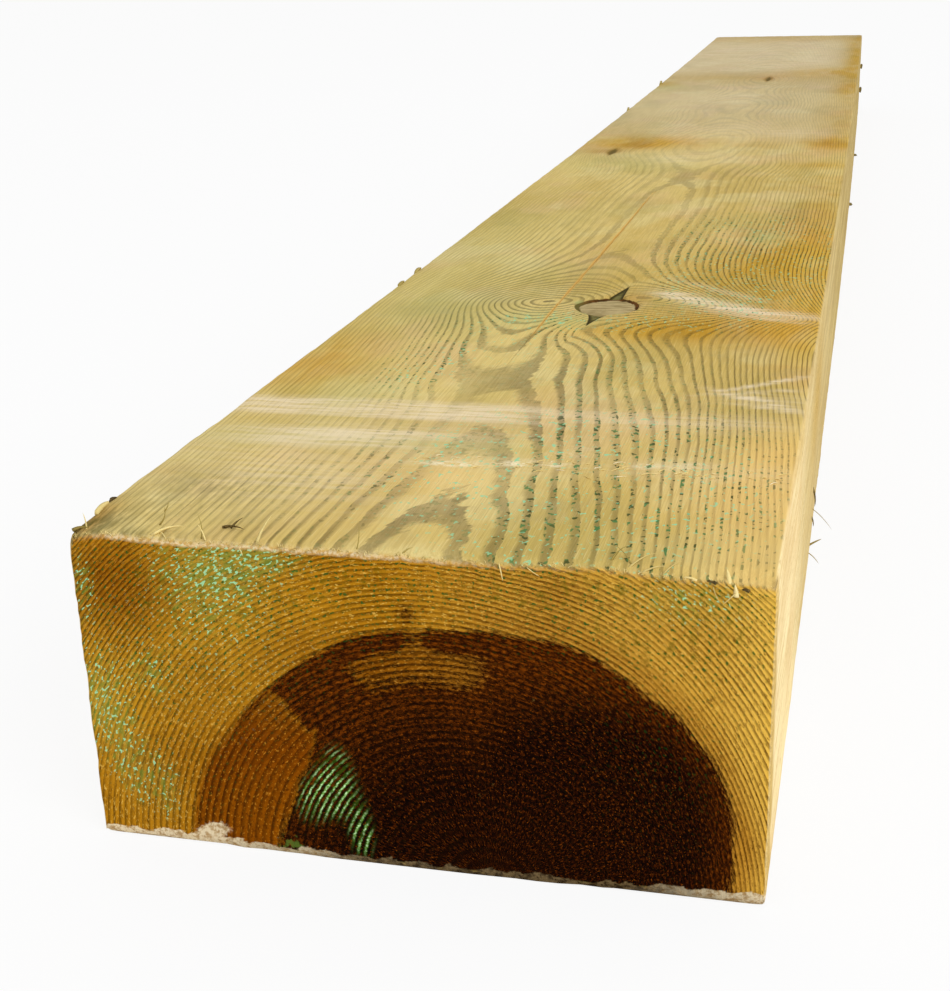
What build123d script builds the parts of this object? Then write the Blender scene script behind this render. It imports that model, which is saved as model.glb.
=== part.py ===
from build123d import *
import os

# A sawn and pressure-treated softwood sleeper, one solid piece.
# Frame: the origin is the centre of the underside, +Y runs along the grain from the near end
# to the far end, +X to the right as seen from the near end, +Z up. Sizes are in millimetres.

# The sawn section and its edges
LENGTH = 2400.0
WIDTH = 250.0
THICKNESS = 125.0
ARRIS_RADIUS = 1.5
END_CHAMFER = 0.8

# The round knot in the top face, a face knot with a wing of torn grain at each end.
# Places on the top face are measured from the left side and from the near end.
KNOT_FROM_LEFT = 133.5
KNOT_FROM_END = 368.5
KNOT_WIDTH = 36.0
KNOT_LENGTH = 40.0
KNOT_DEPTH = 1.0
FAR_WING_REACH = 54.0
FAR_WING_LEAN = 6.0
FAR_WING_BASE = 14.0
FAR_WING_HOLLOW = 0.6
NEAR_WING_REACH = 54.0
NEAR_WING_LEAN = -4.0
NEAR_WING_BASE = 32.0
NEAR_WING_HOLLOW = 3.6

# The two bark pockets further along the top face, pointed ovals that lie along the grain
POCKET_DEPTH = 1.2
LEFT_POCKET_FROM_LEFT = 38.0
LEFT_POCKET_FROM_END = 987.0
LEFT_POCKET_LENGTH = 42.0
LEFT_POCKET_WIDTH = 10.0
MIDDLE_POCKET_FROM_LEFT = 136.0
MIDDLE_POCKET_FROM_END = 1665.0
MIDDLE_POCKET_LENGTH = 60.0
MIDDLE_POCKET_WIDTH = 7.0

# The drying check, a long hairline crack that narrows downwards to its root
CHECK_FROM_LEFT = 106.0
CHECK_START = 240.0
CHECK_LENGTH = 540.0
CHECK_WIDTH = 1.4
CHECK_DEPTH = 5.0
CHECK_ROOT_LENGTH = 470.0
CHECK_ROOT_WIDTH = 0.4

# The corner of the near end that was broken off, top left
CHIP_WIDTH = 9.0
CHIP_DEPTH = 4.0
CHIP_LENGTH = 26.0
CHIP_TIP_WIDTH = 0.9
CHIP_TIP_DEPTH = 0.4

# The near end's top edge is worn down, little at the left and more at the right
WEAR_DEPTH_LEFT = 1.2
WEAR_DEPTH_RIGHT = 4.2
WEAR_RUN_LEFT = 3.0
WEAR_RUN_RIGHT = 8.0

# The near end's bottom edge is broken off in a bevel
FOOT_BEVEL_HEIGHT = 3.5
FOOT_BEVEL_RUN = 1.5


def on_top(from_left, from_near_end):
    """A place on the top face, from its distances to the left side and the near end."""
    return (from_left - WIDTH / 2, from_near_end - LENGTH / 2)


def wing(reach, lean, base, hollow):
    """A flat spike from the knot's middle at the origin out to its tip at reach along +Y.

    lean is how far the tip stands to the right, and each side bows inwards by hollow."""
    tip = (lean, reach)
    left = (-base / 2, 0)
    right = (base / 2, 0)
    with BuildSketch() as spike:
        with BuildLine():
            SagittaArc(left, tip, -hollow)
            SagittaArc(tip, right, -hollow)
            Line(right, left)
        make_face()
    return spike.sketch


def pointed_oval(length, width):
    """A flat outline of two equal arcs that meet in a point at each end, along Y."""
    near_point = (0, -length / 2)
    far_point = (0, length / 2)
    with BuildSketch() as oval:
        with BuildLine():
            ThreePointArc(near_point, (-width / 2, 0), far_point)
            ThreePointArc(far_point, (width / 2, 0), near_point)
        make_face()
    return oval.sketch


TOP = Plane.XY.offset(THICKNESS)

with BuildPart() as sleeper:
    # The sawn balk: its section carried along the grain
    with BuildSketch(Plane.XZ.offset(LENGTH / 2)) as section:
        with Locations((0, THICKNESS / 2)):
            RectangleRounded(WIDTH, THICKNESS, ARRIS_RADIUS)
    extrude(amount=-LENGTH)
    near_end = sleeper.faces().sort_by(Axis.Y)[0]
    far_end = sleeper.faces().sort_by(Axis.Y)[-1]
    chamfer(near_end.edges() + far_end.edges(), END_CHAMFER)

    # The knot and its wings
    knot_centre = on_top(KNOT_FROM_LEFT, KNOT_FROM_END)
    with BuildSketch(TOP.move(Location((*knot_centre, 0)))) as knot_outline:
        Ellipse(KNOT_WIDTH / 2, KNOT_LENGTH / 2)
        add(wing(FAR_WING_REACH, FAR_WING_LEAN, FAR_WING_BASE, FAR_WING_HOLLOW))
        near_wing = wing(NEAR_WING_REACH, NEAR_WING_LEAN, NEAR_WING_BASE, NEAR_WING_HOLLOW)
        add(near_wing.mirror(Plane.XZ))
    extrude(amount=-KNOT_DEPTH, mode=Mode.SUBTRACT)

    # The bark pockets
    left_pocket = on_top(LEFT_POCKET_FROM_LEFT, LEFT_POCKET_FROM_END)
    with BuildSketch(TOP.move(Location((*left_pocket, 0)))) as left_pocket_outline:
        add(pointed_oval(LEFT_POCKET_LENGTH, LEFT_POCKET_WIDTH))
    extrude(amount=-POCKET_DEPTH, mode=Mode.SUBTRACT)
    middle_pocket = on_top(MIDDLE_POCKET_FROM_LEFT, MIDDLE_POCKET_FROM_END)
    with BuildSketch(TOP.move(Location((*middle_pocket, 0)))) as middle_pocket_outline:
        add(pointed_oval(MIDDLE_POCKET_LENGTH, MIDDLE_POCKET_WIDTH))
    extrude(amount=-POCKET_DEPTH, mode=Mode.SUBTRACT)

    # The drying check
    check_middle = on_top(CHECK_FROM_LEFT, CHECK_START + CHECK_LENGTH / 2)
    check_mouth_plane = TOP.move(Location((*check_middle, 0)))
    with BuildSketch(check_mouth_plane) as check_mouth:
        add(pointed_oval(CHECK_LENGTH, CHECK_WIDTH))
    with BuildSketch(check_mouth_plane.offset(-CHECK_DEPTH)) as check_root:
        add(pointed_oval(CHECK_ROOT_LENGTH, CHECK_ROOT_WIDTH))
    loft(ruled=True, mode=Mode.SUBTRACT)

    # The broken corner: a triangle across the corner that shrinks along the arris
    with BuildSketch(Plane.XZ.offset(LENGTH / 2)) as chip_mouth:
        with Locations((-WIDTH / 2, THICKNESS)):
            Polygon((0, 0), (CHIP_WIDTH, 0), (0, -CHIP_DEPTH), align=None)
    with BuildSketch(Plane.XZ.offset(LENGTH / 2 - CHIP_LENGTH)) as chip_tip:
        with Locations((-WIDTH / 2, THICKNESS)):
            Polygon((0, 0), (CHIP_TIP_WIDTH, 0), (0, -CHIP_TIP_DEPTH), align=None)
    loft(ruled=True, mode=Mode.SUBTRACT)

    # The worn top edge of the near end: a bevel that widens from the left to the right
    with BuildSketch(Plane.YZ.offset(-WIDTH / 2)) as wear_left:
        with Locations((-LENGTH / 2, THICKNESS)):
            Polygon((0, 0), (WEAR_RUN_LEFT, 0), (0, -WEAR_DEPTH_LEFT), align=None)
    with BuildSketch(Plane.YZ.offset(WIDTH / 2)) as wear_right:
        with Locations((-LENGTH / 2, THICKNESS)):
            Polygon((0, 0), (WEAR_RUN_RIGHT, 0), (0, -WEAR_DEPTH_RIGHT), align=None)
    loft(ruled=True, mode=Mode.SUBTRACT)

    # The broken bottom edge of the near end
    with BuildSketch(Plane.YZ.offset(-WIDTH / 2)) as foot_bevel:
        with Locations((-LENGTH / 2, 0)):
            Polygon((0, 0), (FOOT_BEVEL_RUN, 0), (0, FOOT_BEVEL_HEIGHT), align=None)
    extrude(amount=WIDTH, mode=Mode.SUBTRACT)

os.makedirs("parts", exist_ok=True)
sleeper.part.label = "sleeper"
export_step(sleeper.part, "parts/sleeper.step")
print("volume in cubic metres", sleeper.part.volume / 1e9)
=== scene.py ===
# %% [markdown]
# # A treated softwood railway sleeper
# The object is one sawn balk of pressure-treated pine. Everything the eye reads on it comes from
# three things: the rings of the log it was sawn from, the saw and the weather, and the copper salts
# of the treatment. This lesson works the rings out once, as a number for every point of the wood,
# and lets the surface and the finish both read that number.

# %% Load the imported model
import math
import bpy
import numpy as np
from mathutils import Matrix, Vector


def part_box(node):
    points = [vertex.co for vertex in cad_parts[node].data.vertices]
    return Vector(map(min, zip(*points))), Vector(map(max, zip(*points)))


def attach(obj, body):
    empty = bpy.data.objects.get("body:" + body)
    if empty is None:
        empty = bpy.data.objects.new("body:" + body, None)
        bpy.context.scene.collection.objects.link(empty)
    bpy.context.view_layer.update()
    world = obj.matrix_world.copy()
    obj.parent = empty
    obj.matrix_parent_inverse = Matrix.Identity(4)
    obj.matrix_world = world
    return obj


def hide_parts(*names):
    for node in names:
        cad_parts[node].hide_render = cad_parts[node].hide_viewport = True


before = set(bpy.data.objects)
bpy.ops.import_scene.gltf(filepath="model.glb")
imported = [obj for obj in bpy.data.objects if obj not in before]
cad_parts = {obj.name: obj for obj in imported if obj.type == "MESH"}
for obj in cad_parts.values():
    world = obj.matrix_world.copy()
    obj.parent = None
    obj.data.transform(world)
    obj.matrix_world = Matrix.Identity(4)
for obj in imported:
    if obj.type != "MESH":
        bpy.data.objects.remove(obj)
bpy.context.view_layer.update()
low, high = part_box("sleeper")
MM = 0.001
WIDTH, LENGTH, THICKNESS = [float(side) / MM for side in high - low]
print("the balk in mm", round(WIDTH), round(LENGTH), round(THICKNESS))

# %% [markdown]
# ## Camera
# The camera stands low in front of the near end and looks along the balk, a little to its right.
# The angles were found by matching the eight visible corners of the balk, so they are odd numbers.
# Turning is done by hand: forward from yaw and pitch, then the other two directions rolled round it.

# %% Place the camera
CAMERA_PLACE = (0.14515, -1.66235, 0.32304)
CAMERA_PITCH, CAMERA_YAW, CAMERA_ROLL = -20.216, -14.453, -1.881
LENS, SENSOR_WIDTH, NEAREST_SEEN = 56.20, 36.0, 0.01


def camera_directions(pitch, yaw, roll):
    """Right, up and back of a camera: forward from yaw and pitch, then rolled round forward."""
    forward = np.array([math.sin(yaw) * math.cos(pitch), math.cos(yaw) * math.cos(pitch), math.sin(pitch)])
    level = np.array([math.cos(yaw), -math.sin(yaw), 0.0])
    upright = np.cross(level, forward)
    right = math.cos(roll) * level + math.sin(roll) * upright
    up = -math.sin(roll) * level + math.cos(roll) * upright
    return right, up, -forward


camera = bpy.data.objects.new("camera", bpy.data.cameras.new("camera"))
bpy.context.scene.collection.objects.link(camera)
camera.data.sensor_width = SENSOR_WIDTH
camera.data.lens = LENS
camera.data.clip_start = NEAREST_SEEN
right, up, back = camera_directions(*[math.radians(a) for a in (CAMERA_PITCH, CAMERA_YAW, CAMERA_ROLL)])
columns = zip(right, up, back, CAMERA_PLACE)
camera.matrix_world = Matrix([list(row) for row in columns] + [[0, 0, 0, 1]])
bpy.context.scene.camera = camera
print("camera looks along", [round(float(-v), 3) for v in back])

# %% [markdown]
# ## Short ways to make nodes
# A finish in Blender is a tree of nodes. The node editor is good for trying things out, but a tree
# written as code can be read and repeated. Two helpers are enough: one makes an empty finish, and
# one adds a node, fills its inputs and gives back the output that the next node needs.

# %% Two helpers for nodes


def new_finish(name):
    """An empty node finish with that name, and its tree."""
    finish = bpy.data.materials.new(name)
    finish.use_nodes = True
    finish.node_tree.nodes.clear()
    return finish, finish.node_tree


def add(tree, kind, inputs=None, output=0, **choices):
    """Put a node in a tree, make its choices, fill its inputs, and give back one output."""
    node = tree.nodes.new(kind)
    for name, value in choices.items():
        setattr(node, name, value)
    for place, value in (inputs or {}).items():
        if isinstance(value, bpy.types.NodeSocket):
            tree.links.new(value, node.inputs[place])
        else:
            node.inputs[place].default_value = value
    return node.outputs[output]


def seen_directly(tree):
    """1 for rays from the camera, from gloss or through glass, otherwise 0."""
    path = tree.nodes.new("ShaderNodeLightPath")
    first = add(tree, "ShaderNodeMath", {0: path.outputs["Is Camera Ray"], 1: path.outputs["Is Glossy Ray"]},
                operation="MAXIMUM")
    return add(tree, "ShaderNodeMath", {0: first, 1: path.outputs["Is Transmission Ray"]},
               operation="MAXIMUM")


print("helpers", new_finish.__name__, add.__name__, seen_directly.__name__)

# %% [markdown]
# ## Floor
# A plain pale floor, as in a catalogue picture. It is a grey that keeps the shadow of the balk, with
# a share of white light added for the camera and for gloss only, so it looks white and still lights
# the wood at a plain level. It is stage, and no part of the object.

# %% Lay the floor
FLOOR_SIZE = 14.0
FLOOR_GREY = 0.86
SEEN_WHITE = 0.88
floor_finish, tree = new_finish("pale_floor")
matt = add(tree, "ShaderNodeBsdfDiffuse", {"Color": (FLOOR_GREY, FLOOR_GREY, FLOOR_GREY, 1)})
white = add(tree, "ShaderNodeEmission", {"Color": (1, 1, 1, 1), "Strength": 1.0})
share = add(tree, "ShaderNodeMath", {0: seen_directly(tree), 1: SEEN_WHITE}, operation="MULTIPLY")
both = add(tree, "ShaderNodeMixShader", {0: share, 1: matt, 2: white})
floor_output = tree.nodes.new("ShaderNodeOutputMaterial")
tree.links.new(both, floor_output.inputs["Surface"])

half = FLOOR_SIZE / 2
floor_corners = [(-half, -half, 0), (half, -half, 0), (half, half, 0), (-half, half, 0)]
floor_mesh = bpy.data.meshes.new("floor")
floor_mesh.from_pydata(floor_corners, [], [(0, 1, 2, 3)])
floor_mesh.materials.append(floor_finish)
floor = bpy.data.objects.new("floor", floor_mesh)
bpy.context.scene.collection.objects.link(floor)
print("floor", FLOOR_SIZE, "m wide")

# %% [markdown]
# ## Sky and lamp
# An even, bright sky does most of the lighting. The camera sees it white, while the wood gets less
# of it. One broad lamp from the front right brightens the right side and gives the near end a
# little shape. A lamp shines the way a camera looks, so the camera's turning serves here too.

# %% Light the scene
SKY_LIGHT = 0.78
LAMP_SIZE, LAMP_POWER = 2.4, 95.0
LAMP_PLACE, LAMP_AIM = np.array([3.0, -3.4, 2.6]), np.array([0.0, -0.9, 0.1])
world = bpy.data.worlds.new("bright_sky")
world.use_nodes = True
world.node_tree.nodes.clear()
strength = add(world.node_tree, "ShaderNodeMapRange",
               {0: seen_directly(world.node_tree), 1: 0.0, 2: 1.0, 3: SKY_LIGHT, 4: 1.0})
sky = add(world.node_tree, "ShaderNodeBackground", {"Color": (1, 1, 1, 1), "Strength": strength})
world_output = world.node_tree.nodes.new("ShaderNodeOutputWorld")
world.node_tree.links.new(sky, world_output.inputs["Surface"])
bpy.context.scene.world = world

lamp_data = bpy.data.lights.new("broad_lamp", "AREA")
lamp_data.size = LAMP_SIZE
lamp_data.energy = LAMP_POWER
lamp = bpy.data.objects.new("broad_lamp", lamp_data)
bpy.context.scene.collection.objects.link(lamp)
aim = LAMP_AIM - LAMP_PLACE
aim_pitch = math.atan2(aim[2], math.hypot(aim[0], aim[1]))
aim_yaw = math.atan2(aim[0], aim[1])
lamp_columns = zip(*camera_directions(aim_pitch, aim_yaw, 0.0), LAMP_PLACE)
lamp.matrix_world = Matrix([list(row) for row in lamp_columns] + [[0, 0, 0, 1]])
bpy.context.scene.view_settings.view_transform = "Standard"
print("sky light", SKY_LIGHT, "lamp", LAMP_POWER, "W")

# %% [markdown]
# ## How the log lay in the balk
# A sawn face is a slice through the log's rings. So the pattern on every face is one function: the
# number of rings between the pith and that point. Places in the wood are given in mm as u from the
# left side, y from the near end and z from the underside. Here the pith runs just under the
# underside, right of the middle, and sinks and wanders towards the far end. The rings are not
# centred on it, because the log grew faster to the left. Wood round a knot swells, so the cut
# passes nearer to the pith there, which gives the nested ovals on the top face.

# %% Where the pith runs and where the wood swelled
PITH_ALONG = [0, 150, 240, 305, 375, 455, 550, 650, 752, 865, 1018, 1150, 1273, 1425, 1665, 1922, 2400]
PITH_FROM_LEFT = [155, 147, 140, 138, 138, 140, 144, 146, 146, 148, 147, 148, 147, 147, 150, 149, 150]
PITH_HEIGHT = [-2.9, -6.5, -10.1, -11.2, -11.5, -12.0, -12.4, -12.0, -12.3, -15.0, -17, -19, -21.5, -24,
               -29, -37, -50]
KNOT = (133.5, 368.5)
# Each swelling: from left, from near end, half width, half length, how far the rings stand out
KNOT_SWELLINGS = [(95, 374, 53, 50, 21), (152, 391, 40, 33, 14)]
SLOW_SWELLINGS = [(80, 290, 24, 30, 3), (158, 322, 34, 34, -7.5), (74, 222, 16, 40, 3.7),
                  (37, 987, 26, 50, 8), (120, 1030, 80, 90, 8), (52, 1335, 40, 80, 6),
                  (150, 1130, 34, 60, 4), (150, 1375, 50, 60, 4), (135, 1666, 40, 70, 10),
                  (200, 905, 24, 40, 4)]
FAR_SIDE_LENGTH = 0.72
PEAK_LIFT, PEAK_ROUND = 0.245, 0.06


def softened(where, stations, values, reach=36.0):
    """A line through the stations, averaged over a stretch each way, so that its corners are round."""
    steps = np.linspace(-reach, reach, 9)
    return np.mean([np.interp(where + step, stations, values) for step in steps], axis=0)


def spot(u, y, place):
    """A bell over an oval: e to minus half the squared distance, counted in half widths."""
    return np.exp(-0.5 * (((u - place[0]) / place[2]) ** 2 + ((y - place[1]) / place[3]) ** 2))


def peak(u, y, place):
    """A pointed hill over an oval: e to minus the distance, counted in half widths, its tip rounded.
    It is shorter on the far side, where the branch leaned away."""
    length = place[3] * np.where(y > place[1], FAR_SIDE_LENGTH, 1.0)
    squared = ((u - place[0]) / place[2]) ** 2 + ((y - place[1]) / length) ** 2
    return np.exp(PEAK_LIFT - np.sqrt(squared + PEAK_ROUND))


print("swellings of the wood", len(KNOT_SWELLINGS) + len(SLOW_SWELLINGS))

# %% [markdown]
# ## The number of rings
# A ring is several mm wide near the pith and thins outwards, so the count is an integral and not a
# plain division. The knot's branch also shifts the rings along its own line to the right, its wings
# run along a seam where they shift the other way, and right of the middle some rings ran wide.

# %% The number of rings between the pith and a point
RING_WIDTH_OUTSIDE, RING_WIDTH_EXTRA, RING_FADE = 1.5, 4.2, 55.0
GREW_LEFT, GREW_LEFT_MOST = 0.20, 26.0
BRANCH_FROM, BRANCH_FALL, BRANCH_RUN, BRANCH_RISE = (16, 20), 0.42, 34.0, 13.0
BRANCH_LIFT, BRANCH_ROUND, BRANCH_GROWS = 0.2, 0.04, 60
WING_LEAN = 0.09
SEAM_MIDDLE, SEAM_HALF, SEAM_RIGHT, SEAM_LEFT, SEAM_RISE = 362, 72, 24.0, 16.0, 8
FEWER_RIGHT_ALONG, FEWER_RIGHT = [0, 60, 200, 320, 430], [3.3, 3.4, 4.5, 3.0, 0.0]
FEWER_FROM, FEWER_SPAN = 158, 58


def ring_count(radius):
    """Rings from the pith out to a radius, where a ring is wide near the pith and thins outwards:
    the width is outside + extra * e^(-radius / fade), and the count is the integral of one over it."""
    outside, extra, fade = RING_WIDTH_OUTSIDE, RING_WIDTH_EXTRA, RING_FADE
    return fade / outside * np.log((outside * np.exp(radius / fade) + extra) / (outside + extra))


def branch_lift(u, y):
    """How much the branch shifts the rings, from 0 to 1: a pointed ridge along its slanting line."""
    line = KNOT[1] + BRANCH_FROM[1] - BRANCH_FALL * (u - KNOT[0] - BRANCH_FROM[0])
    ridge = np.exp(BRANCH_LIFT - np.sqrt(((y - line) / BRANCH_RUN) ** 2 + BRANCH_ROUND))
    return ridge * np.clip((u - KNOT[0]) / BRANCH_GROWS, 0, 1)


def seam_lift(u, y):
    """The same for the seam of the wings: a sharp crest that leans with them and ends past their tips."""
    line = KNOT[0] + WING_LEAN * (y - KNOT[1])
    off_line = np.abs(u - line) / np.where(u > line, SEAM_RIGHT, SEAM_LEFT)
    return np.exp(-off_line) * np.exp(-((y - SEAM_MIDDLE) / SEAM_HALF) ** 4)


def growth(u, y, z):
    """The ring number at a point. A ring of radius r is a circle whose centre is moved left by
    GREW_LEFT * r, so r solves a square equation; past the most shift it is a plain distance."""
    across = u - softened(y, PITH_ALONG, PITH_FROM_LEFT)
    above = z - softened(y, PITH_ALONG, PITH_HEIGHT)
    k = GREW_LEFT
    root = np.sqrt((k * across) ** 2 + (1 - k * k) * (across ** 2 + above ** 2))
    radius = (k * across + root) / (1 - k * k)
    radius = np.where(k * radius < GREW_LEFT_MOST, radius, np.hypot(across + GREW_LEFT_MOST, above))
    near_top = np.clip(z / THICKNESS, 0, 1) ** 2
    for place in KNOT_SWELLINGS:
        radius = radius - place[4] * peak(u, y, place) * near_top
    for place in SLOW_SWELLINGS:
        radius = radius - place[4] * spot(u, y, place) * near_top
    radius = radius - BRANCH_RISE * branch_lift(u, y) * near_top + SEAM_RISE * seam_lift(u, y) * near_top
    wide = np.clip((u - FEWER_FROM) / FEWER_SPAN, 0, 1)
    fewer = np.interp(y, FEWER_RIGHT_ALONG, FEWER_RIGHT) * wide * wide * (3 - 2 * wide)
    return ring_count(radius) - fewer * near_top


print("rings from the pith to the top, near end:", round(float(growth(128.0, 0.0, THICKNESS)), 1))

# %% [markdown]
# ## Where the surface has its points
# The skin of the balk is a grid: stations round the section and rows along it. A station is worth
# its cost only where something small happens, so the pitch changes by stretch: fine round the knot,
# along the drying check and at the arrises, coarse on the underside and towards the far end.

# %% Lay out the stations and the rows
ARRIS, ARRIS_POINTS = 1.5, 6
FINE_EDGE = 9
FIRST_ROW = 0.8
CHECK_START, CHECK_END = 238.0, 770.0
CHECK_FROM_LEFT, CHECK_DRIFT = 105.6, 0.9 / 532
CHECK_REFERENCE = 106.0
CHECK_STATIONS = [-0.5, 0.0, 0.5]


def graded(stops, pitches):
    """Places from the first stop to the last, evenly spaced within each stretch at about its pitch."""
    runs = [np.linspace(a, b, max(1, round((b - a) / pitch)), endpoint=False)
            for a, b, pitch in zip(stops[:-1], stops[1:], pitches)]
    return np.concatenate(runs + [[stops[-1]]])


def check_line(y):
    """How far from the left side the drying check runs: a straight line that drifts to the right."""
    return CHECK_FROM_LEFT + CHECK_DRIFT * (np.clip(y, CHECK_START, CHECK_END) - CHECK_START)


def quarter(centre_u, centre_z, start):
    """The inner points of a rounded arris, clockwise from its start angle, seen from the near end."""
    angle = start - np.linspace(0, math.pi / 2, ARRIS_POINTS)[1:-1]
    return [centre_u + ARRIS * np.cos(angle), centre_z + ARRIS * np.sin(angle), np.cos(angle), np.sin(angle)]


def flat(u, z, normal_u, normal_z):
    """Points of a flat side, with the same outward direction at each of them."""
    u, z = np.broadcast_arrays(u, z)
    return [u, z, np.full(u.shape, normal_u), np.full(u.shape, normal_z)]


far_u, far_z = WIDTH - ARRIS, THICKNESS - ARRIS
across_top = graded([ARRIS, FINE_EDGE, 100, 160, WIDTH - FINE_EDGE, far_u], [1.25, 2.5, 1.25, 2.5, 1.25])
across_top = np.unique(np.concatenate([across_top, CHECK_REFERENCE + np.array(CHECK_STATIONS)]))
down_side = graded([ARRIS, FINE_EDGE, THICKNESS - FINE_EDGE, far_z], [1.9, 6, 1.9])
up_side = graded([ARRIS, FINE_EDGE, THICKNESS - FINE_EDGE, far_z], [1.9, 3.2, 1.9])
across_foot = graded([ARRIS, FINE_EDGE, WIDTH - FINE_EDGE, far_u], [2.5, 8, 2.5])
section = np.concatenate([
    flat(across_top, THICKNESS, 0.0, 1.0), quarter(far_u, far_z, math.pi / 2),
    flat(WIDTH, down_side[::-1], 1.0, 0.0), quarter(far_u, ARRIS, 0.0),
    flat(across_foot[::-1], 0.0, 0.0, -1.0), quarter(ARRIS, ARRIS, -math.pi / 2),
    flat(0.0, up_side, -1.0, 0.0), quarter(ARRIS, far_z, math.pi)], axis=1)
rows = graded([FIRST_ROW, 12, 300, 430, 800, LENGTH - 12, LENGTH - FIRST_ROW], [1.4, 4.5, 2.6, 7, 13, 2])
print(section.shape[1], "stations round the section and", len(rows), "rows along it")

# %% [markdown]
# ## Random patches and outlines
# Each face is the sawn plane plus a small height, a function of two places on that face. A feature
# is easy to shape once it is a distance to its outline in mm, because one soft step then sinks or
# raises all that is inside. The knot is an oval with a wing of torn grain each way, and a bark
# pocket is a spindle. Values on a random lattice, eased from one to the next, make all of it uneven.

# %% Random patches and the outlines of the knot and the pockets
KNOT_HALF_WIDTH, KNOT_HALF_LENGTH, KNOT_MEAN = 18.0, 20.0, 19
KNOT_WAVER, KNOT_WAVER_SIZE, KNOT_SEED = 0.04, 9, 11
FAR_WING_TIP, NEAR_WING_TIP = 54.0, -54.0
# Each wing: half width at its base, how fast it thins
FAR_WING, NEAR_WING, WING_LEAST = (6.2, 1.1), (15.0, 2.3), 0.2
# Each pocket: from left, from near end, half length, half width
POCKETS = [(37, 987, 21, 4), (136, 1665, 30, 3.5)]


def patchy(a, b, seed, size=61):
    """Soft random patches from -1 to 1: random values on a lattice, eased from one to the next."""
    lattice = np.random.default_rng(seed).uniform(-1, 1, (size, size))
    a, b = np.broadcast_arrays(a, b)
    i, j = np.floor(a).astype(int), np.floor(b).astype(int)
    s, t = a - i, b - j
    s, t = s * s * (3 - 2 * s), t * t * (3 - 2 * t)
    i, j, k, m = i % size, j % size, (i + 1) % size, (j + 1) % size
    first = lattice[i, j] * (1 - s) + lattice[k, j] * s
    second = lattice[i, m] * (1 - s) + lattice[k, m] * s
    return first * (1 - t) + second * t


def inside(edge, soft):
    """1 inside an outline and 0 outside it: one over the sum of 1 and e to the edge over soft."""
    return 1 / (1 + np.exp(np.clip(edge / soft, -30, 30)))


def knot_edge(u, y):
    """About how many mm a point is outside the knot's oval, less than 0 inside it."""
    shape = 1 + KNOT_WAVER * patchy(u / KNOT_WAVER_SIZE, y / KNOT_WAVER_SIZE, KNOT_SEED)
    return (np.hypot((u - KNOT[0]) / KNOT_HALF_WIDTH, (y - KNOT[1]) / KNOT_HALF_LENGTH) - shape) * KNOT_MEAN


def wing_edge(u, y):
    """About how many mm a point is outside the knot's two wings. A wing's half width falls from its
    base to nothing at the tip: slowly for the far one, and fast at first for the near one."""
    along = y - KNOT[1]
    middle = KNOT[0] + WING_LEAN * along
    far_half = FAR_WING[0] * np.clip(1 - along / FAR_WING_TIP, 0, 1) ** FAR_WING[1] + WING_LEAST
    near_half = NEAR_WING[0] * np.clip(1 - along / NEAR_WING_TIP, 0, 1) ** NEAR_WING[1] + WING_LEAST
    half_width = np.where(along > 0, far_half, near_half)
    past_tip = np.maximum(along - FAR_WING_TIP, 0) + np.maximum(NEAR_WING_TIP - along, 0)
    return np.abs(u - middle) - half_width + past_tip


def pocket_edge(u, y):
    """About how many mm a point is outside the nearer bark pocket, a spindle along the grain."""
    edges = [np.abs(u - p[0]) - p[3] * (1 - np.clip(np.abs(y - p[1]) / p[2], 0, 2) ** 2) for p in POCKETS]
    return np.minimum(*edges)


print("the knot's middle is", round(-float(knot_edge(*KNOT)), 1), "mm inside its outline")

# %% [markdown]
# ## Worn and broken edges
# Sawn arrises bruise and lose fibre when balks are stacked and strapped. The near end's top edge is
# worn down unevenly, its bottom edge broken off in a rough bevel, and its left corner chipped. The
# depth of each is written at a few places along the edge, and the patches make it ragged between
# them. It could be sculpted by hand, but a written depth is easy to change.

# %% Wear, bevel, chip and wane
WEAR_FROM_LEFT = [0, 20, 33, 47, 65, 97, 128, 160, 178, 191, 213, 238, 250]
WEAR_DEPTH = [0.4, 0.6, 1.2, 1.6, 1.1, 1.2, 1.7, 2.2, 1.4, 0.9, 2.4, 3.7, 4.3]
WEAR_RUN_LEFT, WEAR_RUN_RIGHT = 3.0, 8.0
BEVEL_FROM_LEFT = [0, 40, 52, 70, 95, 105, 150, 165, 190, 200, 225, 250]
BEVEL_HEIGHT = [3.6, 3.4, 2.6, 2.3, 2.0, 1.7, 1.7, 2.3, 2.4, 3.4, 3.8, 4.4]
BEVEL_LEAST, BEVEL_RUN = 0.8, 0.42
CHIP_WIDTH, CHIP_DEPTH, CHIP_LENGTH = 9.0, 2.2, 26.0
SIDE_CHIP_WIDTH, SIDE_CHIP_DEPTH = 8.0, 1.3
WANE_REACH = 3.2
# Wane of each face at each of its long edges: seed, depth
WANE = {"top left": (31, 0.9), "top right": (32, 0.5), "foot left": (42, 0.5), "foot right": (43, 0.5),
        "left top": (53, 1.1), "left foot": (54, 0.5), "right top": (63, 0.5), "right foot": (64, 0.9)}


def chip(from_edge, y, reach):
    """The broken corner, 1 at the very corner and 0 past its reach across and its length along."""
    rough = 1 + 0.25 * patchy(from_edge / 1.6, y / 3.0, 21)
    return np.clip(1 - from_edge / reach, 0, 1) * np.clip(1 - y / CHIP_LENGTH, 0, 1) ** 0.7 * rough


def arris_wear(from_edge, y, seed, depth):
    """Wane of a long arris: its depth comes and goes along the balk and dies out 5 mm from the edge."""
    lumps = 0.35 + 0.65 * np.abs(patchy(y / 37, 0.5, seed)) + 0.35 * patchy(y / 9, 3.5, seed)
    return -depth * np.clip(lumps, 0, 2) * np.exp(-(from_edge / WANE_REACH) ** 2)


print("the near end's bottom edge is broken", BEVEL_HEIGHT[0], "mm up at the left")

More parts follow.
